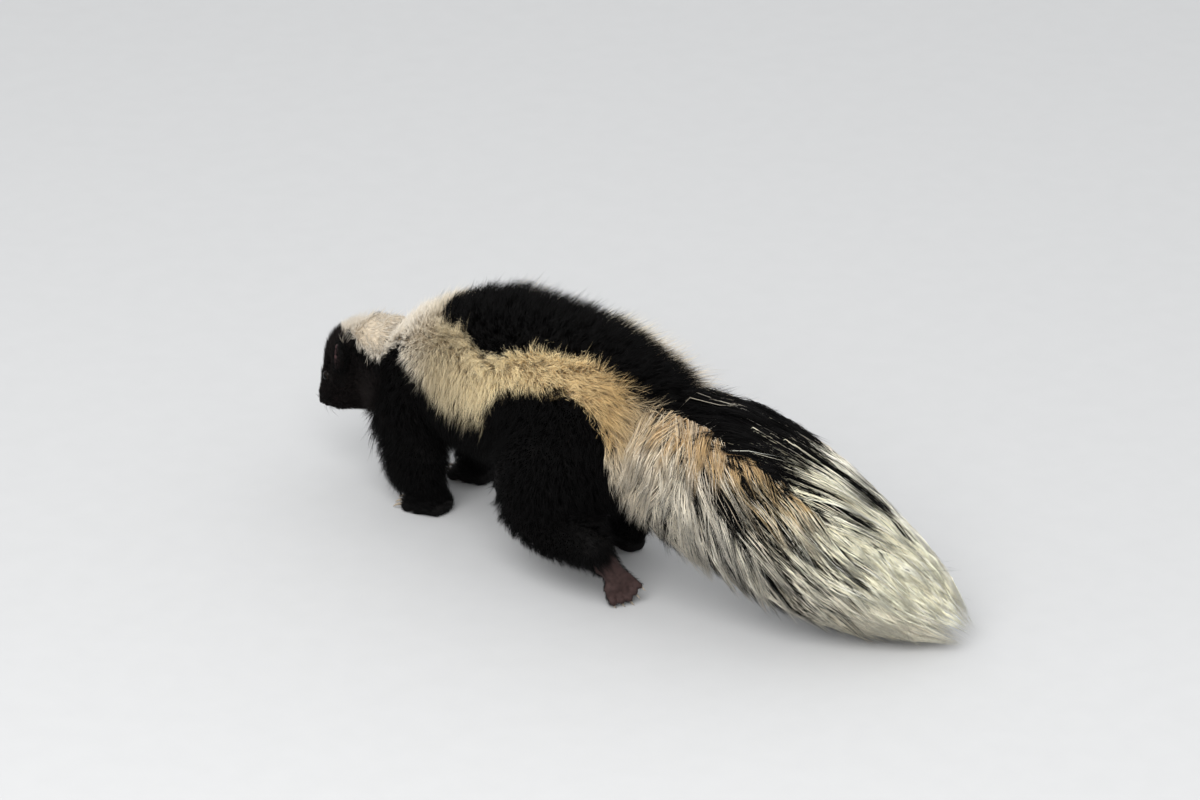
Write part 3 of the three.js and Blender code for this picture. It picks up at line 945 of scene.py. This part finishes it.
def sample(weight, count):
    """Points of the skin, with its normal there, thicker where the weight is higher."""
    w = tri_area * weight
    pick = rng.choice(len(w), size=count, p=w / w.sum())
    u, v = rng.random(count), rng.random(count)
    flip = u + v > 1
    u[flip], v[flip] = 1 - u[flip], 1 - v[flip]
    w3 = np.stack([1 - u - v, u, v], -1)[..., None]
    corners = skin_tris[pick]
    return (skin_points[corners] * w3).sum(1), unit((skin_normals[corners] * w3).sum(1))


def nearest(points, leaders):
    tree = KDTree(len(leaders))
    for i, p in enumerate(leaders):
        tree.insert(p, i)
    tree.balance()
    return np.array([tree.find(p)[1] for p in points])


def limb_place(p):
    """For each point its limb's number (-1 off the legs), its share of the way down, the way and its turn."""
    best = np.full(len(p), 9.0)
    limb_of = np.full(len(p), -1)
    run = np.zeros(len(p))
    way = np.zeros((len(p), 3))
    angle = np.zeros(len(p))
    for number, limb in enumerate(LIMBS):
        line = spread(LEG_SHAPES[limb], 4)
        t = np.linspace(0, 1, len(line))
        for a, b, ta, tb in zip(line[:-1], line[1:], t[:-1], t[1:]):
            ab = b[:3] - a[:3]
            f = np.clip((p - a[:3]) @ ab / (ab @ ab), 0, 1)
            off = p - (a[:3] + f[:, None] * ab)
            d = np.linalg.norm(off, axis=1) / mix(a[4], b[4], f)
            closer = d < best
            best[closer] = d[closer]
            limb_of[closer] = number
            run[closer] = mix(ta, tb, f)[closer]
            way[closer] = unit(ab)
            off = off[closer]
            angle[closer] = np.arctan2(off[:, 0], off @ unit(np.cross(ab, [1.0, 0, 0])))
    on_leg = (best < 1.7) & (run > 0.34) & (p[:, 2] < 88)
    return np.where(on_leg, limb_of, -1), run, way, angle


def foot_place(p):
    """For each point its foot's number (-1 elsewhere), its place in the foot's frame, the way to the toes."""
    which = np.full(len(p), -1)
    local = np.zeros((len(p), 3))
    way = np.zeros((len(p), 3))
    for number, limb in enumerate(LIMBS):
        q = to_foot(p, FEET[limb])
        inside = within(q, (-24, -62, -4), (24, 6, 15))
        which[inside] = number
        local[inside] = q[inside]
        way[inside] = -foot_frame(FEET[limb])[1][:, 1]
    return which, local, way


def share(x, low, span):
    """How far along a span a number is, from 0 to 1."""
    return np.clip((x - low) / span, 0, 1)


def unwrap(p):
    """A place on a flat unwrap of the skin: trunk and tail as one sheet, the head and each leg beside it."""
    uv = np.stack([0.01 + 0.98 * (around(p) / 360 + 0.5), 0.30 + 0.69 * share(p[:, 1], -262, 505)], -1)
    q = to_head(p)
    head = within(q, (-36, -INF, -50), (36, 72, 30))
    turned = np.arctan2(q[:, 0], q[:, 2] + 4) / (2 * math.pi) + 0.5
    uv[head] = np.stack([0.01 + 0.31 * turned, 0.01 + 0.27 * share(q[:, 1], -4, 78)], -1)[head]
    limb_of, run, _, turned = limb_place(p)
    foot, local, _ = foot_place(p)
    leg_uv = turned / (2 * math.pi) + 0.5, 0.11 + 0.17 * np.clip((1 - run) / 0.66, 0, 1)
    foot_uv = share(local[:, 0], -22, 44), 0.01 + 0.09 * share(local[:, 1], -60, 68)
    for number in range(len(LIMBS)):
        left = 0.34 + 0.165 * number
        for on, (u, v) in ((limb_of == number, leg_uv), (foot == number, foot_uv)):
            uv[on] = np.stack([left + 0.15 * u, v], -1)[on]
    return uv


def build_locks(name, taper, path, width, root_colour, tip_colour, uv, white):
    """Meshes of closed locks, the white apart from the black, in pieces of fewer than 200,000 triangles."""
    if white.any() and not white.all():
        for part, kind in ((white, "white"), (~white, "black")):
            each = (values[part] for values in (path, width, root_colour, tip_colour, uv, white))
            build_locks(f"{name}_{kind}", taper, *each)
        return
    # One lock's faces: its root, its sides, and the three that meet at its tip
    rings = path.shape[1] - 1
    size = rings * 3 + 1
    top = size - 4
    k, j, nxt = np.arange(rings - 1)[:, None] * 3, np.arange(3), np.array([1, 2, 0])
    quads = np.stack([k + j, k + nxt, k + 3 + nxt, k + 3 + j], -1).reshape(-1, 4)
    tris = np.array([[0, 2, 1]] + [[top + i, top + nxt[i], size - 1] for i in range(3)])
    turns = j * 2 * math.pi / 3
    # The bake map has a small patch for each lock, round its root's place
    t = np.append(np.repeat(np.linspace(0, 1, rings + 1)[:-1], 3), 1.0)
    shade = t[:, None] ** 0.8
    patch = (np.stack([np.append(np.tile([0.0, 0.5, 1.0], rings), 0.5), t], -1) - 0.5) * PATCH
    pieces = math.ceil(len(path) / (PIECE_TRIANGLES // (len(tris) + 2 * len(quads))))
    order = np.argsort(path[:, 0, 1], kind="stable")
    for number, chosen in enumerate(np.array_split(order, pieces)):
        p, n = path[chosen], len(chosen)
        along = unit(np.concatenate([p[:, 1:2] - p[:, :1], p[:, 2:] - p[:, :-2]], 1))
        spin = unit(rng.normal(size=(n, 3)))
        a = unit(np.cross(along, spin[:, None]))
        b = np.cross(along, a)
        reach = (width[chosen][:, None] * taper / 2)[..., None, None]
        ring = np.cos(turns)[:, None] * a[:, :, None] + LOCK_FLATNESS * np.sin(turns)[:, None] * b[:, :, None]
        ring = p[:, :rings, None] + reach * ring
        points = np.concatenate([ring.reshape(n, -1, 3), p[:, rings:]], 1)
        title = f"{name}_{number + 1}" if pieces > 1 else name
        base = np.arange(n)[:, None, None] * size
        made = new_object(title, points.reshape(-1, 3), quads + base, tris + base, check=False)
        # Each lock runs from its root's colour to its tip's, so the painted shade at the roots fades out
        # along it
        colour = root_colour[chosen][:, None] * (1 - shade) + tip_colour[chosen][:, None] * shade
        paint(made, colour.reshape(-1, 3))
        at = (np.clip(uv[chosen], PATCH, 1 - PATCH)[:, None] + patch).reshape(-1, 2)
        layer = made.data.uv_layers.new(name="OFBake")
        corner = read(made.data.loops, "vertex_index", 1, np.int32)[:, 0]
        layer.data.foreach_set("uv", at[corner].astype(np.float32).ravel())
        if white[0]:
            finish_piece(made, FUR_PALE)
        else:
            finish_piece(made, FUR)
        coat_pieces.append(made)


def settle(p, limit):
    """Brings points back under the outline where they stand out of it by more than the limit."""
    for _ in range(2):
        over = np.maximum(outline.at(p) - limit, 0)
        p = p - outline.slope(p, 2.5) * over[:, None]
    return p


def room(p, low, high):
    """How far it is from the skin to the outline, between two limits."""
    return np.clip(-outline.at(p), low, high)


PALEST = 0.97


def hair_colours(where, clump_random, white, spread_of=0.07):
    """Root and tip colours of locks whose tips show at the given points: the roots carry painted shade and
    the tips painted light.
    """
    n = len(where)
    tint = (1 + spread_of * rng.normal(size=n) + 0.04 * clump_random)[:, None]
    warm = (rng.random(n) * 0.06)[:, None]
    pale = np.minimum(cream(where) * np.clip(tint, 0.6, 1.2), PALEST) * (1 - warm * [0.0, 0.6, 1.6])
    dark = BLACK * np.clip(1 + 0.5 * rng.normal(size=n), 0.3, 3.0)[:, None]
    w = white[:, None]
    # Darker roots are painted shade of the deeper coat, and lighter tips are painted light, on white and
    # black hair alike
    root = np.where(w, pale * [0.93, 0.88, 0.81], dark * 0.8)
    tip = np.where(w, np.minimum(pale * [1.04, 1.06, 1.10], PALEST), dark * 1.6)
    return root, tip


def grow(name, p, n, flow, lean, height, width, gather, per_clump, ragged=1.0, proud=0.0, fine=0.0,
         extra=0.0, bias=0.0, stray=0.12, brown=1.0):
    """Locks from roots p with normals n, leaning by so many degrees from them along the flow.

    The tips of a clump of per_clump locks are gathered, and ragged scatters the clumps. A stray share
    of them stands proud of the coat. The share called fine is made of straight spikes, and the rest
    bend in the middle. The bias makes more of them white, and brown warms the tips of the black.
    """
    count = len(p)
    leaders = rng.choice(count, size=max(8, count // per_clump), replace=False)
    mine = leaders[nearest(p, p[leaders])]

    def by_clump():
        return rng.normal(size=count)[mine]

    flow = unit(flow - (flow * n).sum(1)[:, None] * n)
    across = np.cross(n, flow)
    clump_turn = by_clump() * 0.26 * ragged + rng.normal(size=count) * 0.14
    clump_lean = lean + (by_clump() * 6 + rng.normal(size=count) * 6) * ragged
    clump_size = 1 + by_clump() * 0.06 * ragged
    h = height * np.clip(clump_size, 0.7, 1.25) * (0.70 + 0.30 * rng.random(count))
    flow = flow * np.cos(clump_turn)[:, None] + across * np.sin(clump_turn)[:, None]
    reach = h * np.tan(np.radians(np.clip(clump_lean, 5, 78)))
    tip = p + n * h[:, None] + flow * reach[:, None]
    middle = p + n * (h * 0.62)[:, None] + flow * (reach * 0.30)[:, None]
    # The tips of a clump draw together, unless its leader grows elsewhere
    apart = p - p[mine]
    kin = (np.linalg.norm(apart, axis=1) < 9) & ((n * n[mine]).sum(1) > 0.55)
    pull = (gather * (0.5 + 0.5 * rng.random(count)) * kin)[:, None]
    tip = mix(tip, tip[mine] + apart * 0.30, pull)
    middle = mix(middle, middle[mine] + apart * 0.70, pull * 0.55)
    wander = (h * 0.06)[:, None]
    tip = tip + rng.normal(size=(count, 3)) * wander
    middle = middle + rng.normal(size=(count, 3)) * wander * 0.6
    loose = proud * (rng.random(count) < stray) * rng.random(count)
    tip = tip + unit(tip - p) * loose[:, None]
    tip = settle(tip, 0.6 + loose + extra)
    lost = outline.at(tip) > 4 + loose + extra
    tip[lost] = (p + n * 2.0)[lost]
    root = p - n * 0.5
    for points, over_floor in ((tip, 0.4), (middle, 0.5), (root, 0.5)):
        points[:, 2] = np.maximum(points[:, 2], over_floor)
    edge = by_clump() * 1.5 + rng.normal(size=count) * 1.3
    where = mix(p, tip, 0.75)
    white = white_at(where) + edge + bias > 0
    root_colour, tip_colour = hair_colours(where, by_clump(), white)
    tip_colour = np.where(white[:, None], tip_colour, tip_colour * brown)
    w = width * (0.75 + 0.5 * rng.random(count)) * (1 - 0.25 * (loose > 0))
    each = root, middle, tip, w, root_colour, tip_colour, unwrap(p), white
    straight = rng.random(count) < fine
    for part, ending, taper in ((~straight, "", (1.0, 0.72)), (straight, "_fine", (0.8,))):
        if part.any():
            a, b, c, *rest = (values[part] for values in each)
            t = np.linspace(0, 1, len(taper) + 1)[:, None]
            build_locks(name + ending, taper, bow(a[:, None], b[:, None], c[:, None], t), *rest)


SPINE_WAY = unit(np.gradient(SPINE[:, :3], axis=0))


def body_flow(p):
    """The way the hair lies: back along the spine, and more and more downwards on the sides."""
    w = smooth(25, 95, np.abs(around(p)))[:, None]
    return follow(SPINE_WAY, SPINE[:, 1], p[:, 1]) * (1 - 0.35 * w) + np.array([0, 0, -1]) * 0.75 * w


def from_eye(q):
    return np.linalg.norm(mirrored(q) - EYE, axis=-1)


# How many locks each kind of coat has
COUNTS = dict(body=96000, wisps=4200, fringe=3000, legs=25000, feet=14000, head=28000, ears=6000, tail=32000,
              core=3000)


def many(kind):
    return COUNTS[kind]


# Which triangles carry which kind of coat
q_mid = to_head(tri_middle)
limb_mid, run_mid, _, _ = limb_place(tri_middle)
foot_mid, _, _ = foot_place(tri_middle)
y_mid, z_mid = tri_middle[:, 1], tri_middle[:, 2]
on_ear = ear_reach(to_ear(q_mid)) < EAR_EDGE
in_head = within(q_mid, (-33, -INF, -46), (33, 66, 28)) & ~on_ear
in_foot = (foot_mid >= 0) & ~in_head & ~on_ear
in_leg = (limb_mid >= 0) & ~in_foot & ~in_head & ~on_ear
on_dock = (y_mid > 104) & (z_mid > 60) & ~in_leg & ~in_foot
in_body = ~(on_ear | in_head | in_foot | in_leg | on_dock)

# Trunk, neck and rump
p, n = sample(in_body, many("body"))
y, q = p[:, 1], to_head(p)
angle = np.abs(around(p))
throat = smooth(-14, -24, q[:, 2]) * smooth(100, 80, q[:, 1])
crest = smooth(36, 14, angle) * smooth(-150, -125, y) * smooth(40, 0, y)
nape = smooth(70, 30, angle) * smooth(-205, -180, y) * smooth(-145, -165, y)
extra = 4.0 * throat + 4.5 * crest - 5.0 * nape
depth = np.maximum(room(p, 1.2, 32) * 1.07 + extra, 2.0)
deep = white_at(p)
edge = smooth(11, 3, np.abs(deep))
stand = np.where(deep > 0, 54, np.interp(y, [-240, -170, -120, 60, 110], [52, 48, 38, 38, 46]))
calm = np.where(deep > 0, mix(0.22, 0.62, edge), 0.5)
ragged = np.where(deep > 0, mix(0.55, 1.1, edge), 1.1)
grow("coat_body", p, n, body_flow(p), stand, depth, np.where(deep > 0, 0.60, 0.66), calm, 10,
     ragged=ragged, proud=9.0, fine=0.72, extra=extra, stray=0.2)

# Wisps of white hair stand up over the black along the stripe's upper edge, and hang over it below
deep_mid = white_at(tri_middle)
near_edge = in_body * smooth(-1, 2, deep_mid) * smooth(10, 4, deep_mid)
upper_mid = np.abs(around(tri_middle)) < mix(table(UPPER, y_mid), table(LOWER, y_mid), 0.5)
p, n = sample(near_edge * upper_mid * (y_mid > -150), many("wisps"))
long_by = 4 + 12 * rng.random(len(p))
grow("coat_wisps", p, n, body_flow(p), 33.0, room(p, 3, 32) + long_by, 0.38, 0.5, 5,
     proud=4.0, fine=0.6, extra=long_by, bias=40.0, stray=0.5)
p, n = sample(near_edge * ~upper_mid * (y_mid < -70), many("fringe"))
grow("coat_fringe", p, n, body_flow(p) + [0, 0, -0.25], 42.0, room(p, 3, 32) * 1.02, 0.5, 0.6, 8,
     proud=5.0, fine=0.6, extra=3.5, bias=14.0, stray=0.4)

# Legs
p, n = sample(in_leg * (1 + 0.8 * (run_mid > 0.6)), many("legs"))
grow("coat_legs", p, n, limb_place(p)[2], 42.0, room(p, 1.0, 20) * 1.08, 0.6, 0.4, 7, proud=4.5, fine=0.75)

# Feet, thicker on the left forefoot
furred = 1 - bareness(tri_middle, unit(tri_face))
p, n = sample(in_foot * furred * (z_mid > 0.6) * (1 + 0.8 * (foot_mid == 0)), many("feet"))
_, local, way = foot_place(p)
depth = np.clip(-outline.at(p) + 1.0, 1.6, 3.4) + 3.0 * smooth(-22, 0, local[:, 1])
grow("coat_feet", p, n, way, 62.0, depth, 0.5, 0.35, 6, fine=0.85, extra=1.4)

# Head
bare_face = (q_mid[:, 1] < 3.6) | (from_eye(q_mid) < 4.7)
thick = np.interp(q_mid[:, 1], [0, 20, 50, 66], [2.0, 1.7, 1.2, 1.0])
p, n = sample(in_head * ~bare_face * thick, many("head"))
q = to_head(p)
y, z = q[:, 1], q[:, 2]
way = HEAD_AXES[:, 1] + HEAD_AXES[:, 2] * np.interp(z, [-40, 0, 20], [-0.5, 0, 0.1])[:, None]
throat = 4.5 * smooth(-9, -18, z) * smooth(4, 22, y) + 2.5 * smooth(-14, -24, z) * smooth(24, 40, y)
throat += 2.8 * smooth(3, 11, z) * smooth(22, 36, y) * smooth(76, 62, y)
depth = room(p, 1.9, 24) + throat
depth = np.minimum(depth, np.interp(y, [0, 12, 30, 50, 66], [1.6, 3.6, 10.0, 24, 32]))
depth = np.minimum(depth, np.interp(from_eye(q), [5, 8, 20], [1.2, 3.0, 24]))
stand = np.interp(y, [0, 40, 66], [70, 62, 56])
width = np.interp(y, [0, 30, 66], [0.38, 0.48, 0.62])
on_cap = white_at(p) > 3
grow("coat_head", p, n, way, stand, depth, width, np.where(on_cap, 0.15, 0.35), 6,
     ragged=np.where(on_cap, 0.5, 1.0), proud=2.6, fine=0.75, extra=0.9 + throat, stray=0.22,
     brown=[3.4, 2.7, 2.5])

# Whiskers
start = np.array(
    [[6.5 + 1.6 * i + 0.5 * j, 7.5 + 2.6 * i, -3.0 - 2.3 * j] for i in range(4) for j in range(3)]
)
for side, name in ((1, "whiskers_left"), (-1, "whiskers_right")):
    length = 15 + 9 * rng.random(len(start))
    way = unit(np.array([0.80, 0.12, -0.38]) + 0.16 * rng.normal(size=start.shape))
    bend = start + way * length[:, None] * 0.5
    end = start + way * length[:, None] + np.outer(length, [0.02, 0.16, -0.10])
    path = from_head(np.stack([start, bend, end], 1) * [side, 1, 1])
    shade = np.full((len(start), 3), 0.012)
    width, white = np.full(len(start), 0.34), np.zeros(len(start), bool)
    build_locks(name, (1.0, 0.7), path, width, shade, shade, unwrap(path[:, 0]), white)

# Ears: most of the hollow is bare
p, n = sample(on_ear, many("ears"))
e = to_ear(to_head(p))
wall = e[:, :1] > -1
hollow = np.where(wall, [7.8, 12.0, 12.4], [6.4, 12.0, 11.2])
inner = (np.linalg.norm(e / hollow, axis=-1) < 0.98) & (e[:, 1] > -3.0)
inner &= rng.random(len(p)) > np.where(wall[:, 0], 0.05, 0.5)
p, n, e = p[~inner], n[~inner], e[~inner]
sides = np.sign(to_head(p)[:, :1])
way = (EAR_C * np.hstack([sides, np.ones_like(sides), np.ones_like(sides)])) @ HEAD_AXES.T
rim = smooth(0.5, 0.9, ear_reach(e))
grow("coat_ears", p, n, way, 50.0, 1.4 + 1.8 * rim, 0.42, 0.3, 6, fine=0.75, extra=30.0)


# ---- The tail's long hair: it stands out from the core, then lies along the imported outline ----
def arc_of(line):
    return np.concatenate([[0], np.cumsum(np.linalg.norm(np.diff(line, axis=0), axis=1))])


TAIL = SPINE.copy()
TAIL[-5:] = shifted([
    [-66, 280, 97, 60, 69, 69], [-90, 324, 72, 56, 60, 64], [-115, 357, 48, 44.5, 47, 47],
    [-135, 385, 28, 31, 34, 27], [-152, 411, 11, 12, 13, 9.5],
])
tail_line = spread(TAIL, 10)
tail_middle, tail_size = tail_line[:, :3], tail_line[:, 3:6]
tail_arc = arc_of(tail_middle)
tail_tangent = unit(np.gradient(tail_middle, axis=0))
tail_left = -unit(np.cross([0.0, 0, 1.0], tail_tangent))
tail_up = np.cross(tail_left, tail_tangent)
core_line = spread(BODY, 10)
core_arc = arc_of(core_line[:, :3])


def envelope(s, angle, rho):
    """A point at an arc length, an angle from the top in degrees, and a share of the way out."""
    middle, left, up, size = (follow(v, tail_arc, s) for v in (tail_middle, tail_left, tail_up, tail_size))
    a = np.radians(angle)
    lift = np.cos(a) * np.where(np.cos(a) > 0, size[:, 1], size[:, 2])
    out = left * (np.sin(a) * size[:, 0])[:, None] + up * lift[:, None]
    return middle + out * rho[:, None], unit(out)


def y_of(s):
    return np.interp(s, tail_arc, tail_middle[:, 1])


def s_of(y):
    return np.interp(y, tail_middle[:, 1], tail_arc)


PART = 46.0  # the hair parts along lines this far from the top of the tail


def tail_white(y, a):
    """The share of white locks at a place on the tail, a degrees from its top."""
    start = np.interp(y, [132, 162, 184, 207], [38, 30, 10, -20])
    top = np.interp(y, [140, 165, 185, 205, 222, 238, 250], [0.0, 0.10, 0.28, 0.42, 0.60, 0.84, 1.0])
    side = np.interp(y, [112, 135, 160, 190, 207, 222, 236], [0.97, 0.60, 0.32, 0.20, 0.27, 0.55, 1.0])
    base = 0.92 * smooth(44, 58, a) * smooth(150, 136, a)
    top = top * smooth(start, start + 16, a)
    return mix(base, mix(top, side, smooth(40, 58, a)), smooth(100, 124, y))


def tail_places(count, wisps):
    """Arc lengths and angles where the tips of the tail's locks show."""
    grid = np.linspace(s_of(56.0), tail_arc[-1], 60)
    girth = np.interp(grid, tail_arc, tail_size[:, 0])
    chance = np.concatenate([[0], np.cumsum(girth)[:-1]]) / girth[:-1].sum()
    s = np.interp(rng.random(count), chance, grid)
    angle = rng.random(count) * 360 - 180
    if wisps:  # long hairs that cross the black of the upper side
        s = s_of(98 + 66 * rng.random(count))
        angle = -8 + 38 * rng.random(count)
    start = np.interp(np.abs(angle), [0, 34, 50, 66, 130, 180], [116, 110, 88, 64, 58, 92])
    keep = wisps | (y_of(s) > start + rng.normal(size=count) * 5)
    return s[keep], angle[keep]


def grow_tail(count, wisps=False):
    s, angle = tail_places(count, wisps)
    y, a_tip = y_of(s), np.abs(angle)
    count = len(s)
    target, _ = envelope(s, angle, np.ones(count))
    leaders = rng.choice(count, size=count // (3 if wisps else 13), replace=False)
    mine = leaders[nearest(target, target[leaders])]
    apart = target - target[mine]

    def by_clump(fresh=rng.normal):
        return fresh(size=count)[mine]

    # Which way the hair lies: 0 is down round the tail, 90 along it to the tip, and more is upwards
    below = np.interp(y, [56, 80, 95, 115, 133, 150, 170, 190, 207, 224, 260],
                      [-6, -4, 8, 22, 32, 42, 54, 64, 76, 84, 86]) - 10 * smooth(85, 130, a_tip)
    above = np.interp(y, [90, 120, 151, 173, 199, 240], [134, 124, 108, 102, 97, 92])
    part = PART + 5 * np.sin(s * 0.13)
    fan = mix(above, below, smooth(part - 8, part + 8, a_tip))
    fan = mix(fan, 90, smooth(22, 6, a_tip))
    fan = mix(fan, np.maximum(below, 50), smooth(140, 175, a_tip))
    fan = np.radians(fan + by_clump() * (15 if wisps else 7) + rng.normal(size=count) * (7 if wisps else 3))
    visible = np.interp(y, [56, 90, 118, 160, 200, 240, 273], [42, 54, 64, 72, 74, 58, 44])
    visible = visible * (1 + 0.12 * by_clump()) * (0.8 + 0.4 * rng.random(count))
    radius = np.interp(s, tail_arc, tail_size.mean(1))
    # Hair starts at the parting, so what lies near it is shorter
    if not wisps:
        space = np.radians(np.abs(a_tip - part)) * radius / np.maximum(np.abs(np.cos(fan)), 0.15) + 12
        visible = np.minimum(visible, np.maximum(space, 18))
    # and the locks of the upper side come out from under the rump's coat
    clear = (s - s_of(78 + 28 * rng.random(count))) / np.maximum(np.abs(np.sin(fan)), 0.4)
    visible = np.where(a_tip < 60, np.minimum(visible, np.maximum(clear, 14)), visible)
    visible = visible * (1 - 0.4 * smooth(50, 42, a_tip) * smooth(12, 26, a_tip) * smooth(170, 140, y))
    sign = np.where(angle < 0, -1.0, 1.0)
    swing = np.degrees(np.cos(fan) * visible / np.maximum(radius, 25))
    white = by_clump(rng.random) < tail_white(y_of(s[mine]), a_tip[mine])
    # Some clumps lie deeper, and the gaps between the white ones show them dark
    buried = by_clump(rng.random) < np.interp(y[mine], [100, 150, 205, 232], [0.34, 0.46, 0.38, 0.0])
    dark = buried & (by_clump(rng.random) < np.interp(y[mine], [120, 220], [0.85, 0.3]))
    white = (white & ~dark) | wisps
    rho = 1.0 - 0.07 * rng.random(count) ** 1.6 - 0.08 * buried - 0.03 * ~white
    rho = rho - 0.10 * smooth(114, 84, y) * smooth(78, 54, a_tip)
    # On the right side the first ones come from under the rump's coat too
    early = smooth(96, 72, y) * smooth(100, 76, a_tip) * (angle < 0)
    rho = rho - 0.16 * early
    # The hair of the lower side hangs free of the tail, so it comes from deeper in
    free = smooth(80, 125, a_tip) * smooth(240, 190, y)
    loose = (rng.random(count) < (0.6 if wisps else 0.10)) * rng.random(count) * 0.09
    end = smooth(tail_arc[-1] - 16, tail_arc[-1], s)
    along = follow(tail_tangent, tail_arc, s)
    tip, _ = envelope(s, angle, (rho + loose) * (1 - 0.35 * end * rng.random(count)))
    tip = tip + along * (end * 10 * rng.random(count))[:, None]
    s_half, a_half = s - np.sin(fan) * visible * 0.48, np.clip(a_tip - swing * 0.48, 3, 178) * sign
    s_bend, a_bend = s - np.sin(fan) * visible, np.clip(a_tip - swing, 3, 177) * sign
    half, _ = envelope(s_half, a_half, rho * (mix(0.985, 0.90, free) - 0.16 * early))
    bend, out = envelope(s_bend, a_bend, rho * (mix(0.90, 0.76, free) - 0.36 * early))
    # The roots are on the core, or on the rump in front of it
    y_root = np.clip(y_of(s_bend - 14 - 12 * rng.random(count)), 66, 300)
    core_end = core_arc[-1] - 4 - 30 * rng.random(count) ** 1.5
    core = follow(core_line, core_arc, np.minimum(np.interp(y_root, core_line[:, 1], core_arc), core_end))
    root = core[:, :3] + out * (np.minimum(core[:, 3], core[:, 4]) * 0.93)[:, None]
    # The tips of a clump draw together
    near = np.linalg.norm(apart, axis=1) < 20
    pull = (0.80 * (0.6 + 0.4 * rng.random(count)) * near)[:, None]
    tip = mix(tip, tip[mine] + apart * 0.12, pull)
    half = mix(half, half[mine] + apart * 0.55, pull * 0.6)
    tip = tip + rng.normal(size=(count, 3)) * 0.8
    half = half + rng.normal(size=(count, 3)) * 0.6
    hanging = smooth(85, 120, a_tip) * smooth(60, 95, y) * smooth(268, 245, y)
    fringe = (3.0 * rng.random(count) + 10.0 * by_clump(rng.random) ** 3) * hanging
    tip = tip + unit(along * 0.5 - [0, 0, 0.85]) * fringe[:, None]
    tip = settle(tip, 0.5 + loose * 60 + fringe)
    half = settle(half, 2.0 * wisps)
    bend = settle(bend, -3.0)
    path = np.stack([root, bend, half, tip], 1)
    path[:, :, 2] = np.maximum(path[:, :, 2], 0.6)
    changed = np.where(white, 0.08, 0.10 * smooth(36, 54, a_tip)) * smooth(60, 75, y) * smooth(232, 205, y)
    white = (white ^ (rng.random(count) < changed)) | wisps
    root_colour, tip_colour = hair_colours(tip, by_clump(), white, 0.13)
    # Tan along the parting
    middle_of = np.interp(y, [100, 180], [52, 62])
    tan = np.exp(-(((a_tip - middle_of) / 27) ** 2)) * smooth(52, 84, y) * smooth(208, 175, y)
    tan = np.clip(tan * (1.3 + 0.4 * by_clump() + 0.2 * rng.normal(size=count)), 0, 1)
    tan = (tan * (white & ~wisps))[:, None]
    tip_colour = mix(tip_colour, tip_colour * [0.68, 0.48, 0.25], tan * 0.92)
    root_colour = mix(root_colour, root_colour * [0.36, 0.22, 0.09], tan)
    # Above the parting near the rump the pale locks are smoky, so they fade into the black
    smoky = (smooth(56, 42, a_tip) * smooth(176, 142, y) * (white & ~wisps))[:, None]
    tip_colour = mix(tip_colour, tip_colour * [0.46, 0.39, 0.32], smoky)
    root_colour = mix(root_colour, root_colour * [0.14, 0.11, 0.09], smoky)
    width = (0.42 if wisps else 0.68) * (0.6 + 0.7 * rng.random(count))
    name = "coat_tail_wisps" if wisps else "coat_tail"
    build_locks(name, (0.8, 1.0, 0.75), path, width, root_colour, tip_colour, unwrap(root), white)


grow_tail(many("tail"))
grow_tail(16, wisps=True)
# The tail's core has its own short fur, which fills the locks from inside
p, n = sample(on_dock, many("core"))
grow("coat_core", p, n, body_flow(p), 40.0, 16.0, 1.0, 0.4, 6)

print("coat", [(o.name, sum(len(q.vertices) - 2 for q in o.data.polygons)) for o in coat_pieces])
